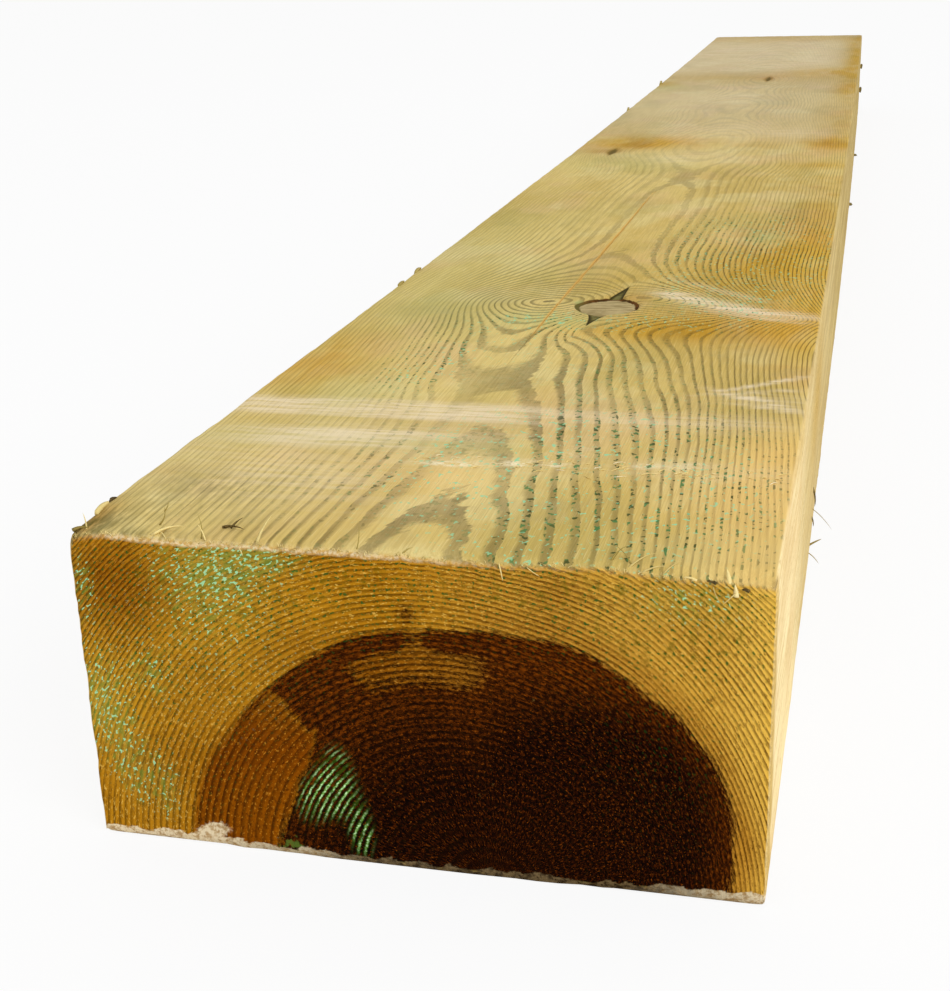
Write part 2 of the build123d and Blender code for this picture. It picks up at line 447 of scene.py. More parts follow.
# %% [markdown]
# ## The height of each face
# Now each face gets its height as a sum. The knot has shrunk below the face inside a groove of
# bark, in wood that swells a little round it. Its wings and the pockets are hollows. The drying
# check is a narrow groove that follows its own line, and opens and closes slowly. The rest is what
# a worn saw leaves. A sum of functions has no seams, and the ends can ask it for the same edge.

# %% Add up the height of each face
# Each unevenness: height, mm across a lump, mm along a lump, seed
UNEVEN = {"top": [(0.16, 7, 60, 1), (0.08, 3, 25, 2)], "left": [(0.15, 6, 70, 51), (0.10, 9, 6, 52)],
          "right": [(0.18, 6, 70, 61), (0.12, 8, 5, 62)], "end": [(0.12, 40, 1.9, 71), (0.10, 2.6, 2.6, 72)]}
KNOT_SUNK, KNOT_CROWN, KNOT_CROWN_SIZE = 1.0, 0.5, (9, 10)
BARK_GROOVE, BARK_GROOVE_IN, BARK_GROOVE_HALF = 0.7, 1.2, 1.1
KNOT_SWELL, KNOT_SWELL_SIZE = 0.6, (30, 34)
WING_DEPTH, POCKET_DEPTH = 1.1, 1.0
CHECK_DEPTH, CHECK_HALF, CHECK_OPENS, CHECK_CLOSES = 1.1, 0.25, 30, 80


def uneven(face, across, along):
    """The unevenness of a face: its lumps added up."""
    return sum(high * patchy(across / wide, along / long, seed) for high, wide, long, seed in UNEVEN[face])


def top_height(u, y):
    """Height of the top face above the sawn plane: weather, wear, knot, pockets, check and chip."""
    run = WEAR_RUN_LEFT + (WEAR_RUN_RIGHT - WEAR_RUN_LEFT) * u / WIDTH
    worn = np.interp(u, WEAR_FROM_LEFT, WEAR_DEPTH) + 0.5 * patchy(u / 2.2, 0.5, 3)
    height = uneven("top", u, y) - worn * np.clip(1 - y / run, 0, 1) ** 2
    edge = knot_edge(u, y)
    sunk = inside(edge, 0.5)
    height = height - KNOT_SUNK * sunk + KNOT_CROWN * sunk * spot(u, y, (*KNOT, *KNOT_CROWN_SIZE))
    height = height - BARK_GROOVE * np.exp(-((edge + BARK_GROOVE_IN) / BARK_GROOVE_HALF) ** 2)
    height = height + KNOT_SWELL * spot(u, y, (*KNOT, *KNOT_SWELL_SIZE)) * (1 - sunk)
    height = height - WING_DEPTH * (1 - sunk) * inside(wing_edge(u, y), 0.5)
    height = height - POCKET_DEPTH * inside(pocket_edge(u, y), 0.8)
    opened = np.clip((y - CHECK_START) / CHECK_OPENS, 0, 1) * np.clip((CHECK_END - y) / CHECK_CLOSES, 0, 1)
    height = height - CHECK_DEPTH * opened * (np.abs(u - check_line(y)) < CHECK_HALF)
    height = height - CHIP_DEPTH * chip(u, y, CHIP_WIDTH)
    return height + arris_wear(u, y, *WANE["top left"]) + arris_wear(WIDTH - u, y, *WANE["top right"])


def foot_height(u, y):
    """Height of the underside out of its plane: only the near end's broken bottom edge, and wane."""
    bevel = np.interp(u, BEVEL_FROM_LEFT, BEVEL_HEIGHT) + 0.45 * patchy(u / 2.6, y / 2.0, 41)
    bevel = np.maximum(bevel, BEVEL_LEAST)
    height = -bevel * np.clip(1 - y / (BEVEL_RUN * bevel), 0, 1)
    return height + arris_wear(u, y, *WANE["foot left"]) + arris_wear(WIDTH - u, y, *WANE["foot right"])


def left_height(z, y):
    """Height of the left side out of its plane: the chip, the waney top arris and a rough saw."""
    height = uneven("left", z, y) - SIDE_CHIP_DEPTH * chip(THICKNESS - z, y, SIDE_CHIP_WIDTH)
    height = height + 0.5 * (patchy(z / 2.1, 0.5, 55) - 0.3) * np.exp(-y / 2.5)
    height = height + arris_wear(THICKNESS - z, y, *WANE["left top"])
    return height + arris_wear(z, y, *WANE["left foot"])


def right_height(z, y):
    """Height of the right side out of its plane: a rough saw and waney arrises."""
    height = uneven("right", z, y) + arris_wear(THICKNESS - z, y, *WANE["right top"])
    return height + arris_wear(z, y, *WANE["right foot"])


def end_height(u, z):
    """How far an end face stands out of its plane: saw marks along the width and torn fibre."""
    return uneven("end", u, z)


knot_depth = -float(top_height(np.array(KNOT[0]), np.array(KNOT[1])))
print("the middle of the knot lies", round(knot_depth, 2), "mm below the face")

# %% [markdown]
# ## The skin along the balk
# Every grid point starts on the rounded rectangle and moves out by the height of its face. On an
# arris both faces have a say, each in its own direction, so the corners meet without a step. A balk
# that has dried in a stack is never straight: this one sags and springs a few millimetres in the
# middle. That bend is put on last, so the rings are worked out in the straight wood.

# %% Work out the skin
SAG, SPRING = 3.24, 2.85
FOLLOWS_CHECK = 14


def bend(u, y, z):
    """Places in the row frame in metres, with the sag of the top and the sideways spring put in."""
    bow = 4 * (y / LENGTH) * (1 - y / LENGTH)
    x = low.x / MM + u + SPRING * bow
    return np.stack([x, low.y / MM + y, low.z / MM + z - SAG * bow * z / THICKNESS], axis=-1) * MM


station_u, station_z, normal_u, normal_z = section[:, None, :]
row_y = rows[:, None]
follow = np.exp(-((station_u - CHECK_REFERENCE) / FOLLOWS_CHECK) ** 2) * (normal_z > 0.99)
straight_u = station_u + (check_line(row_y) - CHECK_REFERENCE) * follow
side_height = np.where(normal_u > 0, right_height(station_z, row_y), left_height(station_z, row_y))
face_height = np.where(normal_z > 0, top_height(straight_u, row_y), foot_height(straight_u, row_y))
skin_u = straight_u + normal_u * side_height
skin_z = station_z + normal_z * face_height
skin_y = np.broadcast_to(row_y, skin_u.shape)
print("skin points", skin_u.size)

# %% [markdown]
# ## The two ends
# An end is its own finer grid, because the rings are small there and the eye comes close. It is a
# little smaller than the section and stands at the very end. Near its border it follows the height
# of the face that it meets, so a worn edge is worn on both.

# %% Work out the two ends
NEAR_PITCH, FAR_PITCH = 1.5, 3.0
INSET = 0.7
TOP_FADE, SIDE_FADE = 10, 8
FOOT_KEPT = 6
FAR_PATCHES = 200


def end_grid(pitch, y):
    """An end face: an even grid on the inset rectangle, eased to the worn edges all round."""
    columns = round((WIDTH - 2 * INSET) / pitch) + 1
    lines = round((THICKNESS - 2 * INSET) / pitch) + 1
    u = np.linspace(INSET, WIDTH - INSET, columns)[None, :] + np.zeros((lines, 1))
    z = np.linspace(INSET, THICKNESS - INSET, lines)[:, None] + np.zeros((1, columns))
    top = top_height(u, y) * np.exp(-(THICKNESS - z) / TOP_FADE)
    foot = foot_height(u, y) * np.exp(-z / SIDE_FADE)
    left = left_height(z, y) * np.exp(-u / SIDE_FADE)
    right = right_height(z, y) * np.exp(-(WIDTH - u) / SIDE_FADE)
    return u - left + right, z + top - foot, u, z


near_u, near_z, near_flat_u, near_flat_z = end_grid(NEAR_PITCH, 0.0)
far_end_u, far_end_z, far_flat_u, far_flat_z = end_grid(FAR_PITCH, LENGTH)
near_y = -end_height(near_u, near_z) * np.clip(near_z / FOOT_KEPT, 0, 1)
far_y = LENGTH + end_height(far_end_u, far_end_z + FAR_PATCHES)
skin_index = np.arange(skin_u.size).reshape(skin_u.shape)
near_index = skin_u.size + np.arange(near_u.size).reshape(near_u.shape)
far_index = skin_u.size + near_u.size + np.arange(far_end_u.size).reshape(far_end_u.shape)
print("points of the near end", near_u.shape, "and of the far end", far_end_u.shape)

# %% [markdown]
# ## Close the ends like a zip
# The narrow ring between the skin and an end is the sawn edge. Its two borders have different
# numbers of points, so a plain row of quads won't close it. Both borders are sorted by how far
# round they are, and each next point of either makes one triangle with the last of the other.

# %% Faces of the skin, the ends and the zips


def round_the_edge(u, z):
    """How far round the section a nominal point is, from 0 at the top left corner, clockwise to 4."""
    gaps = np.stack([THICKNESS - z, WIDTH - u, z, u])
    side = np.argmin(gaps, axis=0)
    places = np.stack([u / WIDTH, 2 - z / THICKNESS, 3 - u / WIDTH, 3 + z / THICKNESS])
    return np.take_along_axis(places, side[None], axis=0)[0]


def border(grid):
    """The numbers of a grid's border points, clockwise from its top left corner."""
    return np.concatenate([grid[-1, :-1], grid[::-1, -1][:-1], grid[0, ::-1][:-1], grid[:, 0][:-1]])


def zipped(outer, outer_place, inner, inner_place):
    """Triangles between two closed borders, each sorted by place: the next point of either border,
    in order of place, makes one triangle with the last point of the other border."""
    outer_order, inner_order = np.argsort(outer_place), np.argsort(inner_place)
    outer, inner = outer[outer_order], inner[inner_order]
    place = np.concatenate([outer_place[outer_order], inner_place[inner_order]])
    from_outer = np.concatenate([np.ones(len(outer), bool), np.zeros(len(inner), bool)])
    order = np.argsort(place, kind="stable")
    from_outer = from_outer[order]
    a = np.cumsum(from_outer) - 1
    b = np.cumsum(~from_outer) - 1
    outer_now, inner_now = outer[a % len(outer)], inner[b % len(inner)]
    outer_last, inner_last = outer[(a - 1) % len(outer)], inner[(b - 1) % len(inner)]
    new_outer = np.stack([outer_last, inner_now, outer_now], axis=1)
    new_inner = np.stack([inner_last, inner_now, outer_now], axis=1)
    return np.where(from_outer[:, None], new_outer, new_inner)


def quads(grid, wrap=False):
    """Four corners of every cell of a grid of point numbers, row by row."""
    across = np.concatenate([grid, grid[:, :1]], axis=1) if wrap else grid
    corners = [across[:-1, :-1], across[:-1, 1:], across[1:, 1:], across[1:, :-1]]
    return np.stack(corners, axis=-1).reshape(-1, 4)


section_place = round_the_edge(section[0], section[1])
near_border, far_border = border(near_index), border(far_index)
near_place = round_the_edge(near_flat_u.ravel(), near_flat_z.ravel())[near_border - skin_u.size]
far_place = round_the_edge(far_flat_u.ravel(), far_flat_z.ravel())[far_border - skin_u.size - near_u.size]
near_zip = zipped(skin_index[0], section_place, near_border, near_place)
far_zip = zipped(skin_index[-1], section_place, far_border, far_place)[:, ::-1]
skin_quads = quads(skin_index, wrap=True)
near_quads = quads(near_index)
far_quads = quads(far_index)[:, ::-1]
print("the near zip has", len(near_zip), "triangles, the far one", len(far_zip))

# %% [markdown]
# ## One closed mesh
# All the points and faces go into one mesh, so the balk is one clean solid. A closed mesh with
# its faces outward has a positive volume by the divergence theorem, which makes a handy check.

# %% Build the balk
wood_u = np.concatenate([skin_u.ravel(), near_u.ravel(), far_end_u.ravel()])
wood_y = np.concatenate([skin_y.ravel(), near_y.ravel(), far_y.ravel()])
wood_z = np.concatenate([skin_z.ravel(), near_z.ravel(), far_end_z.ravel()])
points = bend(wood_u, wood_y, wood_z)


def new_mesh(name, points, face_groups):
    """A mesh from points and arrays of faces, each array with its own number of corners."""
    mesh = bpy.data.meshes.new(name)
    counts = np.concatenate([np.full(len(group), group.shape[1]) for group in face_groups])
    corners = np.concatenate([group.ravel() for group in face_groups])
    mesh.vertices.add(len(points))
    mesh.vertices.foreach_set("co", points.astype(np.float32).ravel())
    mesh.loops.add(len(corners))
    mesh.loops.foreach_set("vertex_index", corners.astype(np.int32))
    mesh.polygons.add(len(counts))
    mesh.polygons.foreach_set("loop_start", (np.cumsum(counts) - counts).astype(np.int32))
    mesh.polygons.foreach_set("use_smooth", np.ones(len(counts), bool))
    mesh.update(calc_edges=True)
    return mesh


def enclosed_volume(points, face_groups):
    """Sum over all triangles of one sixth of the box of their three corners."""
    total = 0.0
    for group in face_groups:
        for k in range(1, group.shape[1] - 1):
            a, b, c = points[group[:, 0]], points[group[:, k]], points[group[:, k + 1]]
            total += np.einsum("ij,ij->", a, np.cross(b, c)) / 6
    return total


balk_faces = [skin_quads, near_quads, far_quads, near_zip, far_zip]
balk_mesh = new_mesh("sleeper_wood", points, balk_faces)
balk = bpy.data.objects.new("sleeper_wood", balk_mesh)
bpy.context.scene.collection.objects.link(balk)
triangles = sum(len(group) * (group.shape[1] - 2) for group in balk_faces)
print("triangles", triangles, "volume in litres", round(1000 * enclosed_volume(points, balk_faces), 2))

# %% [markdown]
# ## A flat map of the skin
# The skin gets a flat map with no overlaps, so that the finish can be painted into one picture. The
# top gets the widest strip and more of it near the camera's end; the near end gets the next best
# place. Each strip is laid out by distance round the section, so an arris has its true width too.

# %% Lay the skin out flat
MAP_NEAR_FAVOUR = 1800.0
STRIPS = {"top": (0.004, 0.004, 0.462, 0.992), "right": (0.474, 0.004, 0.118, 0.690),
          "foot": (0.600, 0.004, 0.160, 0.690), "left": (0.768, 0.004, 0.118, 0.690)}
NEAR_MAP = (0.474, 0.706, 0.522, 0.290)
FAR_MAP = (0.894, 0.004, 0.102, 0.690)


def along_map(y):
    """Place along a strip from 0 to 1, with more room for the near end."""
    return (1 - np.exp(-y / MAP_NEAR_FAVOUR)) / (1 - math.exp(-LENGTH / MAP_NEAR_FAVOUR))


steps = np.hypot(np.diff(section[0], append=section[0, :1]), np.diff(section[1], append=section[1, :1]))
walked = np.concatenate([[0], np.cumsum(steps)])
middle_u = section[2] + np.roll(section[2], -1)
middle_z = section[3] + np.roll(section[3], -1)
strip_of = np.where(np.abs(middle_z) >= np.abs(middle_u), np.where(middle_z > 0, "top", "foot"),
                    np.where(middle_u > 0, "right", "left"))
start_u, end_u = walked[:-1].copy(), walked[1:].copy()
before_first = (strip_of == "top") & (np.arange(len(strip_of)) > len(strip_of) // 2)
start_u[before_first] -= walked[-1]
end_u[before_first] -= walked[-1]
column_uv = np.zeros((len(strip_of), 4))
for name, (left, bottom, wide, tall) in STRIPS.items():
    mine = strip_of == name
    first, last = start_u[mine].min(), end_u[mine].max()
    column_uv[mine, 0] = left + wide * (start_u[mine] - first) / (last - first)
    column_uv[mine, 1] = left + wide * (end_u[mine] - first) / (last - first)
    column_uv[mine, 2], column_uv[mine, 3] = bottom, tall
row_place = along_map(rows)
v_low = column_uv[None, :, 2] + column_uv[None, :, 3] * row_place[:-1, None]
v_high = column_uv[None, :, 2] + column_uv[None, :, 3] * row_place[1:, None]
u_start, u_end = [np.broadcast_to(column_uv[None, :, k], v_low.shape) for k in (0, 1)]
cell_corners = [u_start, v_low, u_end, v_low, u_end, v_high, u_start, v_high]
skin_map = np.stack(cell_corners, axis=-1).reshape(-1, 2)


def end_map(faces, flat_u, flat_z, turned, box):
    """Flat places of an end's face corners, from their nominal u and z; turned lies on its side."""
    across, rise = flat_u[faces.ravel()] / WIDTH, flat_z[faces.ravel()] / THICKNESS
    if turned:
        across, rise = rise, across
    return np.stack([box[0] + box[2] * across, box[1] + box[3] * rise], axis=-1)


all_rows = np.ones((len(rows), 1))
nominal_u = np.concatenate([(all_rows * section[0]).ravel(), near_flat_u.ravel(), far_flat_u.ravel()])
nominal_z = np.concatenate([(all_rows * section[1]).ravel(), near_flat_z.ravel(), far_flat_z.ravel()])
end_parts = [(near_quads, False, NEAR_MAP), (far_quads, True, FAR_MAP),
             (near_zip, False, NEAR_MAP), (far_zip, True, FAR_MAP)]
end_maps = [end_map(faces, nominal_u, nominal_z, turned, box) for faces, turned, box in end_parts]
flat_map = np.concatenate([skin_map] + end_maps)
balk_mesh.uv_layers.new(name="OFBake").data.foreach_set("uv", flat_map.astype(np.float32).ravel())
print("map spans", flat_map.min(0).round(3), flat_map.max(0).round(3))

# %% [markdown]
# ## Marks on the points
# Weather, resin, salts and the treatment colour the wood in patches. A patch could be painted on an
# image, but here it is a number on each point of the mesh, called a mark, which the finish reads.
# So it stays sharp from near, goes round edges, and is changed by changing one value. A mark is a
# sum of a few soft shapes: an oval stain, a stripe that crosses the grain, and a band with a start
# and an end.

# %% Soft shapes for the marks
BAND_SIDE_SOFT = 8


def eased(value, start, end):
    """0 before start, 1 after end, and an S curve between them."""
    t = np.clip((value - start) / (end - start), 0, 1)
    return t * t * (3 - 2 * t)


def stained(u, y, places):
    """Soft oval stains added up, kept below 1."""
    return np.clip(sum(place[4] * spot(u, y, place) for place in places), 0, 1)


def streak(u, y, place):
    """A soft narrow stripe that crosses the grain at a slant."""
    across = u - place[0]
    along = y - place[1] - place[4] * across
    return place[5] * np.exp(-0.5 * ((across / place[2]) ** 2 + (along / place[3]) ** 2))


def soft_band(u, y, band):
    """1 inside a box of the face and 0 outside it, with an edge of the named softness."""
    y_from, y_to, u_from, u_to, soft, strength = band
    along = inside(y_from - y, soft) * inside(y - y_to, soft)
    across = inside(u_from - u, BAND_SIDE_SOFT) * inside(u - u_to, BAND_SIDE_SOFT)
    return strength * along * across


print("one half width out a stain keeps", round(float(spot(1, 0, (0, 0, 1, 1))), 2), "of its strength")

# %% [markdown]
# ## Where the stains of the top lie
# These places were read off the photograph and written down as values. Gold and amber are
# resin round the knots and the pockets, bloom is a pale dry film, mint is salt of the treatment,
# dotted is where that salt stands in flecks, and warm is where the face is nearly orange.

# %% Stains of the top face
# Each stain: from left, from near end, half width, half length, strength
GOLD = [(7, 248, 22, 52, 0.55), (158, 316, 27, 17, 0.85), (196, 318, 30, 16, 0.35), (12, 215, 20, 40, 0.45),
        (215, 335, 40, 34, 0.4), (232, 30, 22, 45, 0.35), (226, 510, 30, 90, 0.75), (244, 300, 12, 70, 0.6),
        (243, 130, 10, 30, 0.45), (180, 450, 34, 50, 0.35), (243, 1120, 14, 70, 0.4),
        (246, 2050, 14, 330, 0.55), (243, 698, 18, 190, 0.45),
        (115, 1026, 120, 20, 0.2), (54, 1045, 26, 30, 0.8), (20, 1050, 60, 34, 0.35),
        (125, 1060, 60, 30, 0.3), (215, 430, 26, 60, 0.35), (120, 420, 30, 22, 0.3),
        (244, 1900, 10, 300, 0.5),
        (237, 1044, 22, 34, 0.8), (229, 905, 20, 12, 0.5), (1, 1603, 16, 26, 0.7), (125, 1690, 120, 45, 0.4),
        (209, 1757, 34, 40, 0.8), (243, 1517, 16, 60, 0.7), (239, 1281, 18, 90, 0.45),
        (124, 2335, 140, 60, 0.5), (124, 567, 40, 60, 0.15)]
AMBER = [(58, 1035, 13, 24, 0.35), (24, 990, 12, 8, 0.3), (135, 1672, 12, 20, 0.3), (3, 14, 5, 12, 0.7),
         (24, 986, 8, 6, 0.35), (235, 1046, 12, 16, 0.35), (186, 318, 16, 14, 0.1), (145, 391, 10, 9, 0.3)]
BLOOM = [(140, 1130, 50, 60, 0.3), (200, 1110, 20, 30, 0.3), (108, 945, 30, 30, 0.3), (90, 1425, 50, 90, 0.3),
         (68, 57, 40, 18, 0.25), (80, 130, 45, 8, 0.4), (30, 100, 40, 12, 0.2)]
MINT = [(84, 118, 34, 8, 0.5), (121, 330, 18, 10, 0.6), (186, 385, 20, 10, 0.5), (45, 180, 16, 30, 0.4),
        (18, 436, 26, 130, 0.3), (47, 349, 26, 40, 0.4), (97, 338, 16, 14, 0.55), (89, 445, 40, 40, 0.3),
        (54, 917, 45, 40, 0.45), (207, 578, 8, 14, 0.9), (25, 631, 30, 80, 0.25), (13, 1568, 20, 30, 0.5),
        (33, 118, 30, 12, 0.45), (127, 116, 16, 8, 0.3), (215, 15, 30, 20, 0.25)]
DOTTED = [(118, 332, 26, 14, 0.8), (196, 345, 30, 20, 0.6), (200, 440, 34, 50, 1.0), (190, 66, 42, 75, 1),
          (129, 98, 26, 40, 0.7), (68, 233, 16, 34, 0.75), (226, 534, 22, 75, 0.9), (148, 240, 40, 60, 0.35),
          (187, 566, 40, 80, 0.8), (87, 302, 40, 40, 0.35), (90, 58, 60, 60, 0.2)]
WARM = [(122, 78, 16, 16, 0.55), (242, 45, 13, 60, 0.9), (222, 70, 16, 60, 0.45), (244, 110, 10, 30, 0.6),
        (78, 112, 60, 22, 0.3), (100, 60, 18, 40, 0.3)]
print("stains of the top:", sum(len(stains) for stains in (GOLD, AMBER, BLOOM, MINT, DOTTED, WARM)))

# %% [markdown]
# ## Scratches and pale bands
# Straps and forks crush the fibres across the top. A light touch leaves a pale band, a slip leaves
# a streak at a slant, and a strap that bites leaves short scratches of torn, nearly white fibre.

# %% Scratches, bands and streaks of the top face
# Each scratch: from left, from near end, half length across, half width, how fast it runs away, strength
SCRATCHES = [(143, 97.5, 5, 0.8, 0.1, 1.0), (155, 99, 5, 1.0, -0.25, 1.0), (164, 118, 5, 1.4, 0, 0.5),
             (178, 104, 8, 0.7, 0.05, 0.6), (190, 101, 5, 0.9, 0.2, 0.8), (209, 104, 6, 1.5, 0.1, 0.7),
             (221, 91, 6, 1.2, 0, 0.7), (117, 93, 9, 1.0, 0, 0.8), (100, 96, 14, 0.6, 0.05, 0.6),
             (137, 91, 12, 0.6, -0.05, 0.6), (236, 104, 6, 1.0, 0.1, 0.5), (170, 110, 30, 0.6, -0.1, 0.35)]
# Each band: from and to along, from and to across, softness of its edges, strength
BLOOM_BANDS = [(149, 174, -20, 135, 1.4, 0.9), (150, 172, 135, 240, 2.5, 0.4), (108, 131, 22, 98, 1.5, 0.6),
               (88, 107, 95, 260, 3.0, 0.22), (60, 84, 30, 90, 6.0, 0.35), (190, 206, 215, 260, 2.0, 0.35),
               (1760, 2330, -20, 215, 40, 0.5)]
# Each streak: from left, from near end, half length across, half width, how fast it runs away, strength
STREAKS = [(166, 398, 8, 5, -0.3, 0.7), (180, 388, 13, 8, -0.75, 0.95), (209, 368, 18, 7, -0.55, 0.95),
           (238, 358, 12, 5, -0.3, 0.7), (226, 221, 14, 1.5, 0.75, 0.8), (229, 197, 15, 2.4, -0.65, 0.9),
           (232, 212, 14, 1.3, 0.3, 0.6), (238, 232, 10, 1.3, 0.8, 0.6), (235, 186, 12, 1.6, -0.4, 0.6),
           (190, 415, 20, 4, -0.9, 0.5), (218, 350, 20, 2, -0.4, 0.5)]
print("scratches", len(SCRATCHES), "bands", len(BLOOM_BANDS), "streaks", len(STREAKS))

# %% [markdown]
# ## Which face a point is on
# The same finish covers the whole balk, so each point carries how much it is on the top, on a side
# or on an end. The numbers change over a millimetre or so, and that gives the soft line of an arris
# for nothing. With them the stains of the top are kept on the top.

# %% Marks of the faces and stains of the top
TOP_BELOW, TOP_SOFT = 14, 10
SIDE_IN, SIDE_SOFT = 1.2, 0.8
DOTTED_EVERYWHERE = 0.08
# The pale side colour is partly a painted highlight, so the lit right side takes more of it than the left.
RIGHT_SIDE_SHARE, LEFT_SIDE_SHARE = 0.95, 0.6
on_end = np.zeros(len(points))
on_end[skin_u.size:] = 1
upper = np.clip((wood_z - (THICKNESS - TOP_BELOW)) / TOP_SOFT, 0, 1) * (1 - on_end)
on_right = np.clip((wood_u - (WIDTH - SIDE_IN)) / SIDE_SOFT, 0, 1) * (1 - on_end)
on_left = np.clip((SIDE_IN - wood_u) / SIDE_SOFT, 0, 1) * (1 - on_end)
marks = {"growth": growth(wood_u, wood_y, nominal_z), "on_end": on_end}
marks["side"] = np.clip(RIGHT_SIDE_SHARE * on_right + LEFT_SIDE_SHARE * on_left, 0, 1)
for name, stains in (("gold", GOLD), ("amber", AMBER), ("mint", MINT), ("warm", WARM)):
    marks[name] = stained(wood_u, wood_y, stains) * upper
bands = sum(soft_band(wood_u, wood_y, band) for band in BLOOM_BANDS)
streaks = sum(streak(wood_u, wood_y, place) for place in STREAKS)
marks["bloom"] = np.clip(stained(wood_u, wood_y, BLOOM) + bands + streaks, 0, 1) * upper
marks["scratch"] = np.clip(sum(streak(wood_u, wood_y, place) for place in SCRATCHES), 0, 1) * upper
marks["dotted"] = (DOTTED_EVERYWHERE + stained(wood_u, wood_y, DOTTED)) * upper
print("share of the points on the top", round(float(np.mean(upper > 0.5)), 2))

# %% [markdown]
# ## Pale rims and a dirty corner
# Where an edge is crushed, the fibres stand up and catch the light, so the rim is painted pale:
# partly fresh wood and partly a painted highlight. Along the broken bottom edge it is pale at the
# left, and dark with old dirt towards the right. The near left corner is grey, and the near part of
# the right side is stained gold from the end.

# %% Marks of the rims, the bottom edge and the dirty corner
RIM_FADES_FROM_LEFT, RIM_FADES = [0, 8, 20, 110, 165, 250], [0.0, 0.3, 1.0, 0.95, 0.2, 0.1]
TOP_RIM, END_RIM, RIM_DEPTH = 0.8, 0.9, 1.5
FOOT_DARK_FROM_LEFT = [0, 45, 62, 84, 104, 205, 228, 250]
FOOT_DARK = [0, 0.1, 0.3, 0.45, 0.95, 1.0, 0.5, 0.1]
BLOB_BIG, BLOB_SMALL, BLOB_LIFT = (47, 8.0, 3.0, 1.5), (43, 5.5, 3.5, 1.6), 1.4
# Each smudge: from left, from near end, half width, half length, strength
CORNER_SMUDGES = [(2, 3, 10, 12, 1.0), (14, 0, 20, 4, 0.8)]
FAINT_SMUDGES = [(32, 55, 18, 12, 0.35), (20, 25, 26, 16, 0.2)]
# Each olive place of the right side: from near end, height, half length, half height, strength
OLIVE_PLACES = [(335, 85, 50, 26, 0.7), (150, 122, 34, 5, 0.6)]
near_rim = np.exp(-wood_y / 0.7) * (1 - on_end)
near_half = wood_y < LENGTH / 2
rim_depth = THICKNESS + top_height(wood_u, 0.0) - wood_z + 0.5 * patchy(wood_u / 1.7, wood_z / 1.7, 91)
end_rim = on_end * near_half * np.clip(RIM_DEPTH - rim_depth, 0, 1)
rim_fading = np.interp(wood_u, RIM_FADES_FROM_LEFT, RIM_FADES)
# The rim mark is partly fresh pale wood and partly a painted highlight where raised fibres catch the light.
marks["rim"] = np.clip(TOP_RIM * near_rim * upper + END_RIM * end_rim, 0, 1) * rim_fading
foot_top = np.interp(wood_u, BEVEL_FROM_LEFT, BEVEL_HEIGHT) + 1.0
foot_top = foot_top + 1.3 * patchy(wood_u / 3.1, wood_z / 3.1, 92)
blob = spot(wood_u, wood_z, BLOB_BIG) + 0.7 * spot(wood_u, wood_z, BLOB_SMALL)
foot_amount = np.clip(np.clip(foot_top - wood_z + 0.5, 0, 1) + BLOB_LIFT * blob, 0, 1)
marks["foot"] = near_half * (wood_y < 4) * foot_amount
marks["foot_dark"] = np.interp(wood_u, FOOT_DARK_FROM_LEFT, FOOT_DARK)
corner = np.maximum(*[place[4] * spot(wood_u, wood_y, place) for place in CORNER_SMUDGES])
marks["dirty"] = (corner + sum(place[4] * spot(wood_u, wood_y, place) for place in FAINT_SMUDGES)) * upper
gold_reach = 7 + 0.13 * (THICKNESS - wood_z) + 5 * patchy(wood_z / 9, 0.5, 94)
olive_side = sum(place[4] * spot(wood_y, wood_z, place) for place in OLIVE_PLACES)
marks["side_gold"] = np.clip(0.85 * eased(gold_reach - wood_y, -4, 8) + olive_side, 0, 1) * on_right
print("points on the broken bottom edge", int(np.sum(marks["foot"] > 0.5)))

# %% [markdown]
# ## Where the ring lines are clear
# In the photograph the lines are clear near the camera, and fade further off and in weathered
# places. Where the saw ran almost along the rings they are wide, and their edges torn.
# How wide follows from the ring numbers: count how much they change over one millimetre.

# %% Marks of clear, grey and torn wood
CLEAR_ALONG, CLEAR = [0, 150, 450, 700, 900, 1250, 1500, 2400], [1.0, 0.95, 0.9, 0.72, 0.5, 0.46, 0.36, 0.25]
CLEAR_FROM_LEFT, CLEAR_LEFT = [0, 40, 70, 110], [0.55, 0.68, 0.85, 1.0]
GREY_ALONG, GREY = [0, 900, 1250, 2400], [0, 0, 0.32, 0.4]
SIDE_HIGHLIGHT_FADE_ALONG, SIDE_HIGHLIGHT_FADE = [0, 130, 175, 240, 320, 500, 800], [0, 0, 0.25, 0.5, 0.6, 0.72, 0.92]
SHARPER = [(84, 365, 30, 60, 0.45), (205, 470, 36, 80, 0.4)]
HAZY, HAZE = (125, 1000, 50, 130), 0.5
LEAST_CHANGE, TORN_FROM, TORN_SPAN, TORN_LEAST = 0.03, 3.0, 12, 0.12
fading = np.interp(wood_y, CLEAR_ALONG, CLEAR)
left_fading = np.interp(wood_u, CLEAR_FROM_LEFT, CLEAR_LEFT)
lost = 0.75 + 0.35 * patchy(wood_u / 45, wood_y / 170, 93)
sharper = sum(place[4] * spot(wood_u, wood_y, place) for place in SHARPER)
hazy = 1 - HAZE * spot(wood_u, wood_y, HAZY)
marks["clear"] = np.where(on_end > 0, 1.0, np.clip(fading * left_fading * lost * hazy + sharper, 0, 1))
marks["greyed"] = np.interp(wood_y, GREY_ALONG, GREY) * upper
